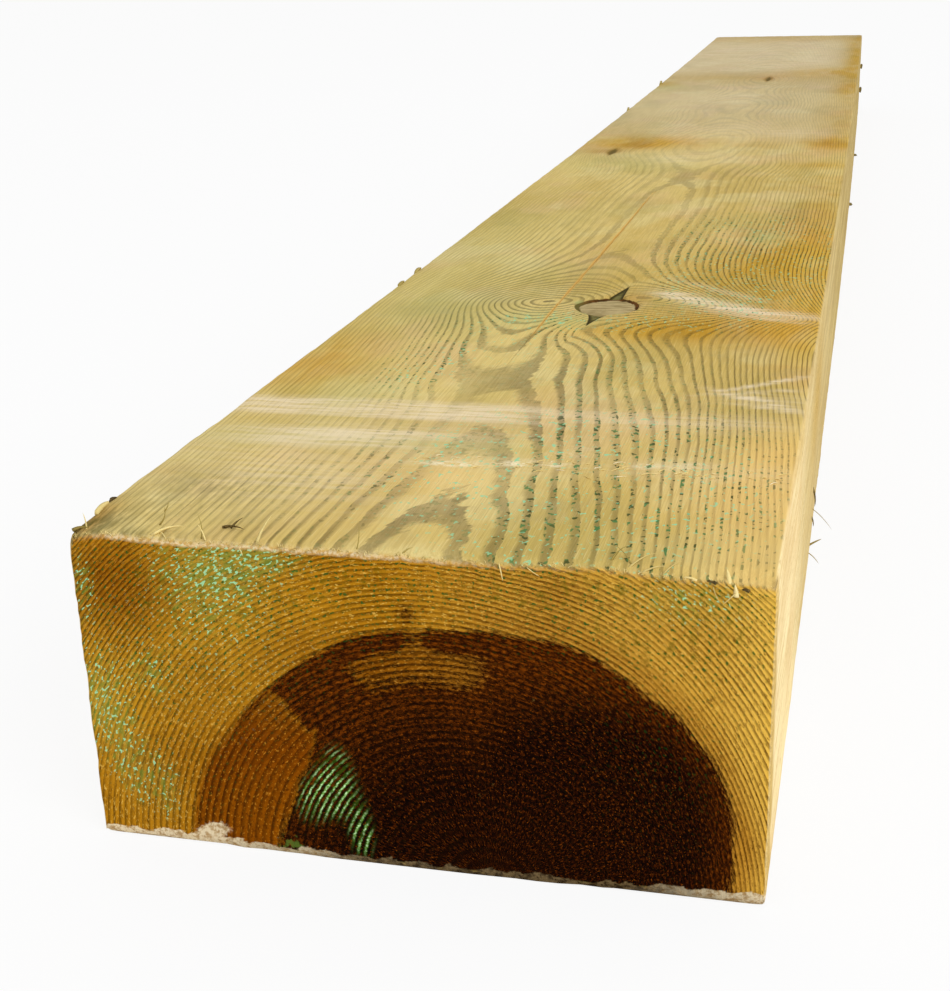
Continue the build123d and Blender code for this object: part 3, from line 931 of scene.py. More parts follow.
# Painted highlight of the right side: this mark dims the pale cream from the near end to the far.
marks["side_highlight_fade"] = np.interp(wood_y, SIDE_HIGHLIGHT_FADE_ALONG, SIDE_HIGHLIGHT_FADE)
change = np.abs(growth(wood_u + 1, wood_y, nominal_z) - marks["growth"])
ring_pitch = 1 / np.maximum(change, LEAST_CHANGE)
marks["torn"] = np.clip((ring_pitch - TORN_FROM) / TORN_SPAN, TORN_LEAST, 1.0)
print("widest ring line on the balk", round(float(ring_pitch.max())), "mm")

# %% [markdown]
# ## Knot, wings, pockets and check as distances
# The outlines that shaped the relief are kept on the points as distances in mm. So the colour of
# the bark, the hollows and the groove ends just where their shape does.

# %% Marks of the knot, its wings, the pockets and the check
KNOT_OFF, WING_OFF, POCKET_OFF = 20, 8, 8
CHECK_SEEN_ALONG, CHECK_SEEN = [240, 290, 325, 450, 600, 720, 800], [0.1, 0.35, 0.85, 1.0, 0.9, 0.6, 0.0]
CHECK_SEEN_HALF = 2.0
FRINGE_STARTS, FRINGE_ENDS = (120, 170), (310, 345)
for name, edge_of, off in (("knot", knot_edge, KNOT_OFF), ("wing", wing_edge, WING_OFF),
                           ("pocket", pocket_edge, POCKET_OFF)):
    marks[name] = np.where(upper > 0, np.clip(edge_of(wood_u, wood_y), -off, off), off)
round_knot = np.degrees(np.arctan2(wood_y - KNOT[1], wood_u - KNOT[0])) % 360
marks["knot_fringe"] = eased(round_knot, *FRINGE_STARTS) * (1 - eased(round_knot, *FRINGE_ENDS)) * upper
off_check = np.abs(wood_u - check_line(wood_y)) / CHECK_SEEN_HALF
marks["check"] = np.clip(1 - off_check, 0, 1) * np.interp(wood_y, CHECK_SEEN_ALONG, CHECK_SEEN) * upper
print("marked", len(marks), "things on", len(points), "points")

# %% [markdown]
# ## The dark heart
# The heart of the log takes no treatment and stays dark on the sawn end. It could be a plain disc,
# but its rim on the real end is an uneven arch, cut off at the left where the wood is amber. So the
# rim is written round the pith, as a reach for each angle, and the place inside it is a distance.
# The rest is told apart by that distance, that angle, or a place on the end.

# %% The heart of the near end
PITH = (155.0, -2.0)
HEART_ANGLE = [0, 10, 23, 34, 46, 60, 71, 81, 90, 100, 109, 115, 123, 132, 141, 152, 180]
HEART_REACH = [80, 81.5, 88.5, 93.4, 95.1, 97, 99.3, 99, 99.9, 100.9, 104.8, 107, 108.7, 108.7, 110,
               113.9, 118]
HEART_LEFT_HEIGHT = [0, 10, 20, 30, 40, 48, 53, 57, 65, 69, 74, 90]
HEART_LEFT_FROM = [69, 73, 77, 81, 86, 89, 87, 82, 77, 71, 60, 40]
HEART_WOBBLE, LEFT_WOBBLE, LEFT_SOFT = 1.3, 2.6, 3.5
# How the rim softens by angle: where it starts, counted inward, and where it is full
RIM_STARTS_AT, RIM_STARTS = [0, 35, 60, 85, 100, 140], [-6, -6, -5, -4, -2.5, -1.5]
RIM_FULL_AT, RIM_FULL = [0, 60, 100], [1, 3, 3]
DEPTH_AT, DEPTH_TIMES, DEPTH_SPAN = [0, 60, 95, 140], [2.4, 2.0, 0.8, 0.8], 60
# Each patch of striped salts: from left, height, half width, half height, strength
STRIPE_PLACES = [(96, 40, 4, 6, 0.5), (93, 28.5, 6, 6.5, 1.0), (84, 22, 4, 6, 0.35), (104, 13, 3, 7, 0.8)]
SMUDGE, SMUDGE_STRENGTH = (125, 102, 3.4, 4.0), 0.6
PALE_IN_AMBER = (76, 50, 10, 14)


def between(value, start, full, fall, end):
    """0 before start, 1 from full to fall, and 0 again after end, with an S curve each way."""
    return eased(value, start, full) * (1 - eased(value, fall, end))


def heart_marks(u, z):
    """How dark the heart is at a point of the near end, how amber, where the salts lie in stripes,
    and how far in it is. The rim is written round the pith, by angle and by distance in from it. On
    the left the dark stops at a line of its own, given as a place from the left at a few heights."""
    across, above = u - PITH[0], z - PITH[1]
    angle = np.degrees(np.arctan2(above, across))
    reach = np.hypot(across, above)
    rim_reach = softened(angle, HEART_ANGLE, HEART_REACH, reach=6.0)
    inward = rim_reach - reach + HEART_WOBBLE * patchy(angle / 7, reach / 4, 81)
    starts, full = np.interp(angle, RIM_STARTS_AT, RIM_STARTS), np.interp(angle, RIM_FULL_AT, RIM_FULL)
    within = eased(inward, starts, full)
    left_edge = np.interp(z, HEART_LEFT_HEIGHT, HEART_LEFT_FROM)
    left_edge = left_edge + LEFT_WOBBLE * patchy(angle / 5, reach / 2.4, 82)
    past_left = eased(left_edge - u, -LEFT_SOFT, LEFT_SOFT)
    gap = between(angle, 86, 98, 120, 126) * between(inward, 7, 11, 15, 30)
    olive = between(u, 121, 125, 129, 133) * between(z, 78, 86, 99, 103)
    dark = within * (1 - past_left) * (1 - 0.62 * gap) * (1 - 0.35 * olive)
    arc = 0.8 * np.exp(-((inward - 2.0) / 1.4) ** 2) * between(angle, 134, 138, 146, 156)
    dark = np.clip(np.maximum(dark, np.maximum(arc, SMUDGE_STRENGTH * spot(u, z, SMUDGE))), 0, 1)
    amber = (1 - 0.3 * spot(u, z, PALE_IN_AMBER)) * eased(inward, -4, 6) * past_left
    amber = amber * (0.55 + 0.45 * eased(-z, -66, -40)) * eased(reach, 50, 80)
    glow = np.exp(-((inward + 4) / 5.5) ** 2) * (1 - eased(angle, 75, 105))
    amber = np.clip(amber + 0.42 * glow + 0.6 * gap + 0.35 * past_left * within, 0, 1)
    stripes = stained(u, z, STRIPE_PLACES) * within * (1 - past_left)
    depth = inward / DEPTH_SPAN * np.interp(angle, DEPTH_AT, DEPTH_TIMES) + 0.4 * (1 - eased(angle, 45, 75))
    return dark, amber, stripes, np.clip(depth, 0, 1)


near_end = (on_end > 0) & near_half
heart, end_amber, stripes, inward = heart_marks(wood_u, wood_z)
print("heart covers", round(100 * float(np.mean(heart[near_end] > 0.5))), "% of the near end")

# %% [markdown]
# ## Stains of the two ends
# The near end has salts in its top left corner and down its left edge, and amber stains. The far
# end can't be seen in the photograph, so it gets a smaller plain heart, and the underside a faint
# one. Last, every mark is written on the mesh as a number for each point.

# %% Marks on the ends, and all marks onto the mesh
END_AMBER = [(16, 106, 18, 18, 0.8), (178, 113, 8, 6, 0.35), (206, 104, 22, 9, 0.1), (244, 20, 7, 18, 0.3),
             (80, 84, 14, 8, 0.25), (40, 30, 12, 26, 0.2)]
END_MINT = [(56, 114, 12, 6, 0.9), (72, 119, 9, 3, 0.9), (52, 103, 10, 8, 0.45), (5, 58, 5, 11, 0.8),
            (13, 38, 4, 12, 0.5), (3, 104, 3, 8, 0.5), (28, 24, 3, 8, 0.5), (20, 28, 3, 8, 0.35),
            (26, 70, 5, 6, 0.3), (60, 85, 40, 22, 0.1),
            (222, 114, 14, 6, 0.3), (76, 4, 2.5, 2.5, 1.0), (30, 60, 30, 40, 0.06)]
END_DOTTED = [(214, 108, 30, 12, 1.0), (180, 116, 24, 6, 0.6), (60, 104, 42, 18, 0.7),
              (130, 115, 60, 10, 0.5), (225, 80, 20, 30, 0.35), (30, 70, 30, 40, 0.5)]
END_DOTTED_EVERYWHERE = 0.12
FAR_PITH, FAR_HEART_REACH, FAR_HEART_SOFT = (128, -46), 86, 9
UNDER_HEART_MIDDLE, UNDER_HEART_HALF = 140, 86
FAR_HEART, FAR_AMBER, UNDER_HEART, ELSEWHERE = 0.85, 0.3, 0.35, 0.6
ROUND_METRES = 0.085
far_end = (on_end > 0) & (wood_y > LENGTH / 2)
far_reach = np.hypot(wood_u - FAR_PITH[0], wood_z - FAR_PITH[1])
far_heart = eased(FAR_HEART_REACH - far_reach, 0, FAR_HEART_SOFT)
underside = (1 - on_end) * eased(-wood_z, -12, -2)
under_heart = eased(UNDER_HEART_HALF - np.abs(wood_u - UNDER_HEART_MIDDLE), -4, 10) * underside
hidden_heart = np.where(far_end, FAR_HEART * far_heart, UNDER_HEART * under_heart)
marks["heart"] = np.where(near_end, heart, hidden_heart)
near_amber = np.clip(end_amber + stained(wood_u, wood_z, END_AMBER), 0, 1)
marks["amber"] = np.where(near_end, near_amber, np.where(far_end, FAR_AMBER * far_heart, marks["amber"]))
marks["mint"] = np.where(near_end, stained(wood_u, wood_z, END_MINT), marks["mint"])
end_dotted = END_DOTTED_EVERYWHERE + stained(wood_u, wood_z, END_DOTTED)
marks["dotted"] = np.where(near_end, end_dotted, marks["dotted"])
marks["stripes"] = np.where(near_end, stripes, 0)
marks["inward"] = np.where(near_end, inward, ELSEWHERE)
pale_end = eased(wood_u, 110, 200) * (0.55 + 0.45 * eased(wood_u, 228, 249))
marks["pale_end"] = np.where(near_end, pale_end, ELSEWHERE)
pith_u = softened(wood_y, PITH_ALONG, PITH_FROM_LEFT)
pith_z = softened(wood_y, PITH_ALONG, PITH_HEIGHT)
marks["round_pith"] = ROUND_METRES * np.arctan2(wood_z - pith_z, wood_u - pith_u)
for name, values in marks.items():
    balk_mesh.attributes.new(name, "FLOAT", "POINT").data.foreach_set("value", values.astype(np.float32))
print("numbers on each point:", len(marks))

# %% [markdown]
# ## The wood finish
# In each ring the wood starts pale, darkens slowly to the late wood and stops at a sharp edge. The
# fraction of the ring number gives that profile everywhere, on the end as fine arcs and on the top
# as broad bands. Fibre noise is stretched along the grain, so the same noise is streaks on the
# faces and specks on the ends. The marks then tint the result. A finish like this has many nodes,
# so a few short names come first: each makes one node and gives back its output.

# %% Short names for the finish nodes
wood, tree = new_finish("treated_softwood")


def paint(red, green, blue):
    """A colour as it looks on a screen, 0 to 255, turned into the linear numbers of a shader."""
    shown = np.array([red, green, blue]) / 255
    linear = np.where(shown < 0.04045, shown / 12.92, ((shown + 0.055) / 1.055) ** 2.4)
    return (*[float(v) for v in linear], 1.0)


def calc(operation, a, b=0.5, c=0.0):
    """One sum of a Math node."""
    return add(tree, "ShaderNodeMath", {0: a, 1: b, 2: c}, operation=operation)


def times(*values):
    """All the values multiplied."""
    result = values[0]
    for value in values[1:]:
        result = calc("MULTIPLY", result, value)
    return result


def rise(value, start, end, low_value=0.0, high_value=1.0):
    """An S curve from the low value at start to the high value at end."""
    return add(tree, "ShaderNodeMapRange", {0: value, 1: start, 2: end, 3: low_value, 4: high_value},
               interpolation_type="SMOOTHSTEP")


def mingle(amount, under, over, blend_type="MIX"):
    """Two colours mixed, the second one by amount."""
    return add(tree, "ShaderNodeMix", {0: amount, 6: under, 7: over}, output=2, data_type="RGBA",
               blend_type=blend_type)


def tinted(amount, under, tint):
    """A colour multiplied by a tint, as a stain that soaks in does, by amount."""
    return mingle(1.0, under, mingle(amount, (1, 1, 1, 1), tint), "MULTIPLY")


def mark(name):
    """A number that the points carry."""
    return add(tree, "ShaderNodeAttribute", output=2, attribute_name=name)


print("a middle grey of the screen is", round(paint(128, 128, 128)[0], 3), "in the shader")

# %% [markdown]
# ## Noise along the grain and round the pith
# Wood is never random in all directions alike. A noise for the faces is read at places that are
# squeezed along the balk, so its blobs become streaks. A noise for the ends is read at the ring
# number and the angle round the pith, so its blobs lie along the rings.

# %% Noise for the faces and the ends
place = add(tree, "ShaderNodeTexCoord", output=3)


def stretched(across, along, rise_scale=None, turn=0.0):
    """Places counted in cells per metre across, along and up, for a noise, turned first in plan."""
    scale = (across, along, across if rise_scale is None else rise_scale)
    turned = place
    if turn:
        turned = add(tree, "ShaderNodeVectorRotate", {"Vector": place, "Angle": turn}, rotation_type="Z_AXIS")
    return add(tree, "ShaderNodeVectorMath", {0: turned, 1: scale}, operation="MULTIPLY")


def noise(across, along, detail=2.0, roughness=0.55, rise_scale=None, turn=0.0):
    """Soft noise between about 0.3 and 0.7, in cells per metre across and along the grain."""
    where = stretched(across, along, rise_scale, turn)
    return add(tree, "ShaderNodeTexNoise", {"Vector": where, "Scale": 1.0, "Detail": detail,
                                            "Roughness": roughness})


def patches_of(across, along, start, end, most=1.0, **choices):
    """Patches cut from a noise of so many cells per metre: 0 below start, most above end."""
    return rise(noise(across, along, **choices), start, end, 0.0, most)


def round_noise(per_ring, per_metre, detail=2.0, roughness=0.55):
    """Noise drawn out round the pith: cells per ring, and cells per metre of the way round."""
    where = add(tree, "ShaderNodeCombineXYZ", {0: calc("MULTIPLY", mark("growth"), per_ring),
                                               1: calc("MULTIPLY", mark("round_pith"), per_metre)})
    return add(tree, "ShaderNodeTexNoise", {"Vector": where, "Scale": 1.0, "Detail": detail,
                                            "Roughness": roughness})


print("finish", wood.name, "reads", place.name, "coordinates")

# %% [markdown]
# ## The rings and their late wood
# A saw tears wide rings into slanted teeth, so the ring number is shifted a little by a slanted
# noise where the mark torn is high. Each ring has its own start of the late wood and its own
# strength, from a random number that belongs to the whole part of the ring number.

# %% Late wood of each ring
WOBBLE, TEAR, TEAR_TURN, END_SHIFT = 0.6, 0.42, 0.62, 0.35
LATE_STARTS, LATE_STARTS_END, LATE_STARTS_TORN = (0.34, 0.58), -0.2, 0.05
LATE_FULL, LATE_FULL_TORN = 0.80, -0.12
LATE_ENDS, LATE_ENDS_TORN = 0.86, 0.93
RING_DIFFERENCE, RING_LEAST = 0.3, 0.7
on_end_mark = mark("on_end")
off_end = calc("SUBTRACT", 1.0, on_end_mark)
ring_wobble = calc("MULTIPLY", calc("SUBTRACT", noise(42, 24), 0.5), WOBBLE)
slant = calc("SUBTRACT", noise(300, 70, detail=3.0, roughness=0.6, turn=TEAR_TURN), 0.5)
ring_tear = times(slant, mark("torn"), TEAR)
ring_shift = times(calc("ADD", ring_wobble, ring_tear), rise(on_end_mark, 0.0, 1.0, 1.0, END_SHIFT))
ring_number = calc("ADD", mark("growth"), ring_shift)
ring_part = calc("FRACT", ring_number)
ring_own = add(tree, "ShaderNodeTexWhiteNoise", {"W": calc("FLOOR", ring_number)}, noise_dimensions="1D")
late_start = calc("MULTIPLY_ADD", on_end_mark, LATE_STARTS_END, rise(ring_own, 0.0, 1.0, *LATE_STARTS))
late_start = calc("MULTIPLY_ADD", mark("torn"), LATE_STARTS_TORN, late_start)
late_full = calc("MULTIPLY_ADD", mark("torn"), LATE_FULL_TORN, LATE_FULL)
fall_start = rise(mark("torn"), 0.1, 0.5, LATE_ENDS, LATE_ENDS_TORN)
late_wood = times(rise(ring_part, late_start, late_full), rise(ring_part, 1.0, fall_start))
ring_strength = calc("MULTIPLY_ADD", ring_own, RING_DIFFERENCE, RING_LEAST)
along_strength = rise(noise(30, 14, detail=3.0), 0.34, 0.58, 0.6, 1.0)
late_wood = times(late_wood, ring_strength, along_strength)
seen_late = calc("MULTIPLY", late_wood, mark("clear"))
fibre = noise(1100, 22, detail=3.0, roughness=0.65)
fine_fibre = noise(2600, 60, detail=1.0)
patches = noise(9, 3, detail=3.0)
print("nodes so far", len(tree.nodes))

# %% [markdown]
# ## Colour of the faces along the grain
# Treated pine is straw yellow with an olive cast. Broad patches of peach, cream and olive come
# first, fine pale and dark fibres over them, then the late wood, and last what the weather greys.

# %% Colour of the faces along the grain
FACE = {"early": paint(224, 200, 126), "dull": paint(208, 180, 102), "late": paint(104, 88, 46),
        "wide late": paint(120, 104, 66), "peach": paint(222, 186, 134), "cream": paint(232, 220, 160),
        "olive": paint(178, 160, 84), "dark fibre": paint(164, 140, 78), "pale fibre": paint(240, 220, 160),
        "weather": paint(176, 160, 112), "grey": paint(188, 180, 166)}
LATE_FACE_COVERS = 0.92
face = mingle(rise(patches, 0.35, 0.65), FACE["early"], FACE["dull"])
face = mingle(patches_of(16, 9, 0.48, 0.64, 0.45, detail=4.0, roughness=0.6), face, FACE["peach"])
face = mingle(patches_of(14, 12, 0.50, 0.64, 0.38, detail=4.0, roughness=0.6), face, FACE["cream"])
face = mingle(patches_of(22, 8, 0.50, 0.66, 0.40, detail=3.0, rise_scale=31), face, FACE["olive"])
face = mingle(rise(fibre, 0.38, 0.66, 0.0, 0.30), face, FACE["dark fibre"])
face = mingle(rise(fine_fibre, 0.55, 0.78, 0.0, 0.35), face, FACE["pale fibre"])
late_face = mingle(rise(mark("torn"), 0.25, 0.9), FACE["late"], FACE["wide late"])
face = mingle(calc("MULTIPLY", seen_late, LATE_FACE_COVERS), face, late_face)
weather = mingle(patches_of(40, 30, 0.5, 0.72, 0.4, detail=4.0, roughness=0.65), face, FACE["weather"])
face = mingle(mark("clear"), face, weather)
face = mingle(mark("greyed"), face, FACE["grey"])
print("colours of the faces", len(FACE))

# %% [markdown]
# ## Colour of the ends
# A sawn end drinks the treatment and turns ochre. The rings are thin arcs there, and the saw leaves
# the cut cells open, which shows as dark and pale specks that follow the arcs. Amber is a tint that
# is multiplied in, because resin and stain let the rings show through.

# %% Colour of the ends
END = {"early": paint(206, 148, 30), "dull": paint(172, 112, 12), "pale": paint(234, 186, 76),
       "late": paint(84, 52, 0), "dark fibre": paint(92, 52, 2), "speck": paint(236, 190, 86),
       "mint": paint(156, 168, 74), "rust": paint(78, 34, 0), "amber late": paint(58, 24, 0),
       "amber speck": paint(206, 138, 48)}
END_AMBER_TINT = (0.50, 0.30, 0.03, 1)
LATE_END_COVERS = 0.86
round_fibre = round_noise(2.4, 420, detail=4.0, roughness=0.75)
round_speck = round_noise(3.1, 640, detail=2.0, roughness=0.7)
grain_end = mingle(rise(patches, 0.35, 0.65), END["early"], END["dull"])
grain_end = mingle(mark("pale_end"), grain_end, END["pale"])
grain_end = mingle(calc("MULTIPLY", late_wood, LATE_END_COVERS), grain_end, END["late"])
grain_end = mingle(rise(round_fibre, 0.48, 0.34, 0.0, 0.8), grain_end, END["dark fibre"])
grain_end = mingle(rise(round_speck, 0.56, 0.68, 0.0, 0.75), grain_end, END["speck"])
grain_end = mingle(calc("MULTIPLY", mark("mint"), times(on_end_mark, 0.30)), grain_end, END["mint"])
grain_end = tinted(mark("amber"), grain_end, END_AMBER_TINT)
rust = times(mark("amber"), patches_of(330, 330, 0.46, 0.66, detail=4.0, roughness=0.7), 0.42)
grain_end = mingle(rust, grain_end, END["rust"])
grain_end = mingle(times(late_wood, mark("amber"), on_end_mark, 0.5), grain_end, END["amber late"])
amber_speck = times(rise(round_speck, 0.58, 0.70), mark("amber"), 0.5)
grain_end = mingle(amber_speck, grain_end, END["amber speck"])
print("colours of the ends", len(END))

# %% [markdown]
# ## Colour of the heart and its striped salts
# The heart is nearly black inside and red brown towards its rim, with the open cells as brown
# specks. Its rim is not a clean line on the real end, so the mark of the heart is shaken by the
# fibre noise before it is cut. In a few places the salts stand along the rings as bright stripes
# in a green halo, three for each two rings.

# %% Colour of the heart
HEART = {"outer": paint(46, 16, 0), "outer fibre": paint(122, 58, 3), "inner": paint(8, 1, 0),
         "inner fibre": paint(70, 26, 0), "speck": paint(140, 72, 8), "late": paint(18, 4, 0),
         "halo": paint(46, 76, 12), "stripe": paint(112, 168, 70), "bright stripe": paint(204, 246, 182)}
EDGE_SHAKE, EDGE_LATE, STRIPES_PER_RING, STRIPE_SHAKE = -1.5, 0.14, 1.5, 0.5
heart_edge = calc("ADD", mark("heart"), calc("MULTIPLY", calc("SUBTRACT", round_fibre, 0.5), EDGE_SHAKE))
heart_edge = calc("MULTIPLY_ADD", late_wood, EDGE_LATE, heart_edge)
heart_outer = mingle(rise(round_fibre, 0.42, 0.62), HEART["outer"], HEART["outer fibre"])
heart_inner = mingle(rise(round_fibre, 0.47, 0.64), HEART["inner"], HEART["inner fibre"])
heart_colour = mingle(rise(mark("inward"), 0.05, 0.9), heart_outer, heart_inner)
heart_colour = mingle(rise(round_speck, 0.58, 0.70, 0.0, 0.8), heart_colour, HEART["speck"])
heart_colour = mingle(calc("MULTIPLY", late_wood, 0.85), heart_colour, HEART["late"])
grain_end = mingle(rise(heart_edge, 0.15, 0.85), grain_end, heart_colour)
stripe_part = calc("FRACT", calc("MULTIPLY", ring_number, STRIPES_PER_RING))
stripe_shake = calc("SUBTRACT", round_noise(1.6, 420, detail=3.0), 0.5)
stripe_edge = calc("MULTIPLY_ADD", stripe_shake, STRIPE_SHAKE, stripe_part)
stripe_line = times(rise(stripe_edge, 0.12, 0.30), rise(stripe_edge, 0.58, 0.40))
halo = times(rise(mark("stripes"), 0.05, 0.5), rise(stripe_edge, 0.0, 0.2), rise(stripe_edge, 0.8, 0.5), 0.75)
grain_end = mingle(halo, grain_end, HEART["halo"])
stripe_gaps = rise(round_noise(0.8, 110, detail=3.0), 0.34, 0.56)
stripe = times(rise(mark("stripes"), 0.1, 0.75), stripe_line, stripe_gaps)
stripe_colour = mingle(rise(round_speck, 0.42, 0.62), HEART["stripe"], HEART["bright stripe"])
grain_end = mingle(stripe, grain_end, stripe_colour)
print("colours of the heart", len(HEART))

# %% [markdown]
# ## Lay the stains over faces and ends
# Resin soaks in, so gold and amber are multiplied and the rings stay visible. Salts, bloom and
# crushed fibre lie on top, so they are mixed over, each broken up by a noise of its own.

# %% Join the two and lay the marks over them
STAIN = {"warm": paint(250, 206, 128), "mint": paint(176, 188, 122), "bloom": paint(240, 222, 188),
         "scratch": paint(252, 242, 206)}
GOLD_TINT, FACE_AMBER_TINT = (0.90, 0.70, 0.24, 1), (0.62, 0.36, 0.10, 1)
WARM_COVERS, MINT_COVERS, BLOOM_COVERS = 0.45, 0.45, 0.85
colour = mingle(on_end_mark, face, grain_end)
gold_amount = calc("MULTIPLY", mark("gold"), rise(noise(60, 16), 0.25, 0.6, 0.55, 1.0))
colour = tinted(gold_amount, colour, GOLD_TINT)
colour = tinted(times(mark("amber"), off_end), colour, FACE_AMBER_TINT)
colour = mingle(calc("MULTIPLY", mark("warm"), WARM_COVERS), colour, STAIN["warm"])
mint_face = calc("MULTIPLY", mark("mint"), off_end)
colour = mingle(calc("MULTIPLY", mint_face, MINT_COVERS), colour, STAIN["mint"])
bloom_broken = rise(noise(26, 240, detail=4.0, roughness=0.7), 0.36, 0.60, 0.3, 1.0)
colour = mingle(times(mark("bloom"), bloom_broken, BLOOM_COVERS), colour, STAIN["bloom"])
scratch_amount = times(mark("scratch"), patches_of(260, 420, 0.40, 0.56, detail=4.0, roughness=0.75))
colour = mingle(scratch_amount, colour, STAIN["scratch"])
print("stains laid over", len(STAIN) + 2)

# %% [markdown]
# ## Flecks of salt
# The copper salts dry in flecks of one or two millimetres. The dark green ones sit in the late wood
# and the pale ones anywhere. Each kind is a small noise cut high up, multiplied by the mark that
# says where such flecks stand.

# %% Flecks of salt
FLECK = {"dark": paint(40, 64, 30), "green": paint(64, 122, 70), "pale": paint(146, 212, 164),
         "end green": paint(30, 84, 30), "moss": paint(84, 84, 8), "haze": paint(104, 136, 52),
         "flake": paint(166, 224, 172), "dirt": paint(88, 84, 36)}
FLECK_COVERS, MOSS_COVERS = 0.85, 0.5
salt_patches = rise(noise(60, 45), 0.38, 0.62, 0.35, 1.0)
dark_fleck = times(patches_of(430, 300, 0.57, 0.63, detail=1.0), rise(late_wood, 0.12, 0.36),
                   rise(mark("dotted"), 0.05, 0.8), rise(mark("torn"), 0.95, 0.35, 0.3, 1.0))
fleck_green = mingle(patches_of(180, 160, 0.42, 0.58), FLECK["dark"], FLECK["green"])
colour = mingle(times(dark_fleck, off_end, FLECK_COVERS), colour, fleck_green)
pale_fleck = times(patches_of(440, 330, 0.64, 0.68, detail=1.0), rise(mark("dotted"), 0.25, 0.9),
                   off_end, salt_patches)
colour = mingle(calc("MULTIPLY", pale_fleck, FLECK_COVERS), colour, FLECK["pale"])
end_fleck = times(patches_of(680, 680, 0.58, 0.64, detail=1.0), on_end_mark, rise(late_wood, 0.05, 0.3))
colour = mingle(times(end_fleck, rise(mark("dotted"), 0.05, 0.9), FLECK_COVERS), colour, FLECK["end green"])
moss = times(patches_of(260, 260, 0.50, 0.66, detail=3.0, roughness=0.7), on_end_mark,
             rise(mark("dotted"), 0.4, 1.1), MOSS_COVERS)
colour = mingle(moss, colour, FLECK["moss"])
flake_noise = calc("MULTIPLY_ADD", mark("mint"), 0.09, round_noise(1.8, 900, detail=1.0))
flake = times(rise(flake_noise, 0.655, 0.70), on_end_mark, rise(mark("mint"), 0.03, 0.25),
              rise(mark("heart"), 0.5, 0.1))
green_noise = calc("MULTIPLY_ADD", mark("mint"), 0.10, round_noise(1.3, 300, detail=3.0))
green_haze = times(rise(green_noise, 0.54, 0.66), on_end_mark, rise(mark("mint"), 0.05, 0.3), MOSS_COVERS)
colour = mingle(green_haze, colour, FLECK["haze"])
colour = mingle(calc("MULTIPLY", flake, FLECK_COVERS), colour, FLECK["flake"])
dirt = times(mark("dirty"), patches_of(300, 90, 0.35, 0.6, detail=3.0), FLECK_COVERS)
colour = mingle(dirt, colour, FLECK["dirt"])
print("kinds of fleck", len(FLECK))

# %% [markdown]
# ## Pale edges and the sides
# The right side is cream with long fine fibres near the camera, and more olive further off; the
# cream near the camera is partly a painted highlight of the brightly lit right side. The crushed
# rim of the end and the broken bottom edge show fresh inner wood; the rim is partly a painted highlight too.

# %% Pale edges and the sides
# The side's cream is partly a painted highlight of the brightly lit right side near the camera; far and far
# dull are its dimmer tones further off.
SIDE = {"cream": paint(253, 234, 182), "straw": paint(234, 206, 148), "peach": paint(226, 192, 134),
        "far": paint(206, 184, 120), "far dull": paint(176, 150, 90), "speck": paint(184, 146, 84),
        "gold": paint(176, 136, 52), "pale gold": paint(224, 190, 110)}
RIM_AND_HIGHLIGHT = {"pale": paint(242, 220, 176), "brown": paint(206, 168, 104)}
FOOT = {"pale": paint(240, 222, 184), "brown": paint(186, 152, 104), "dirty": paint(112, 92, 60),
        "black": paint(46, 32, 14)}
side_wood_and_highlight = mingle(patches_of(500, 14, 0.40, 0.66, detail=3.0), SIDE["cream"], SIDE["straw"])
side_wood_and_highlight = mingle(patches_of(24, 9, 0.45, 0.62, 0.45, detail=2.0), side_wood_and_highlight, SIDE["peach"])
far_tone = mingle(patches_of(110, 5, 0.38, 0.62, detail=4.0, roughness=0.65), SIDE["far"], SIDE["far dull"])
# Painted highlight fading: pale near the camera, darker further off.
side_wood_and_highlight = mingle(mark("side_highlight_fade"), side_wood_and_highlight, far_tone)
side_wood_and_highlight = mingle(patches_of(600, 160, 0.55, 0.70, 0.4, detail=3.0), side_wood_and_highlight, SIDE["speck"])
side_gold = mingle(rise(fibre, 0.4, 0.6), SIDE["gold"], SIDE["pale gold"])
side_wood_and_highlight = mingle(mark("side_gold"), side_wood_and_highlight, side_gold)
# Rim colour: partly fresh wood, partly a painted highlight.
rim_wood_and_highlight = mingle(patches_of(700, 700, 0.40, 0.62, detail=2.0), RIM_AND_HIGHLIGHT["pale"], RIM_AND_HIGHLIGHT["brown"])
foot_pale = mingle(patches_of(420, 420, 0.42, 0.64, detail=3.0, roughness=0.7), FOOT["pale"], FOOT["brown"])
foot_dirty = mingle(patches_of(300, 500, 0.40, 0.60, detail=3.0, roughness=0.7), FOOT["dirty"], FOOT["black"])
foot_wood = mingle(mark("foot_dark"), foot_pale, foot_dirty)
colour = mingle(mark("side"), colour, side_wood_and_highlight)
colour = mingle(mark("rim"), colour, rim_wood_and_highlight)
foot_ragged = calc("MULTIPLY_ADD", noise(700, 700, detail=2.0), 0.8, mark("foot"))
colour = mingle(rise(foot_ragged, 0.62, 1.0), colour, foot_wood)
print("colours of sides and edges", len(SIDE) + len(RIM_AND_HIGHLIGHT) + len(FOOT))

# %% [markdown]
# ## Knot, wings, pockets and check
# Each of these reads its distance mark, in mm, so the ramps below are widths on the real balk: the
# knot has a rim of dark bark 1 to 3 mm wide, a greenish fringe outside it on the left, and a wing
# is darkest at its outline. The check lets fresh gold wood show.

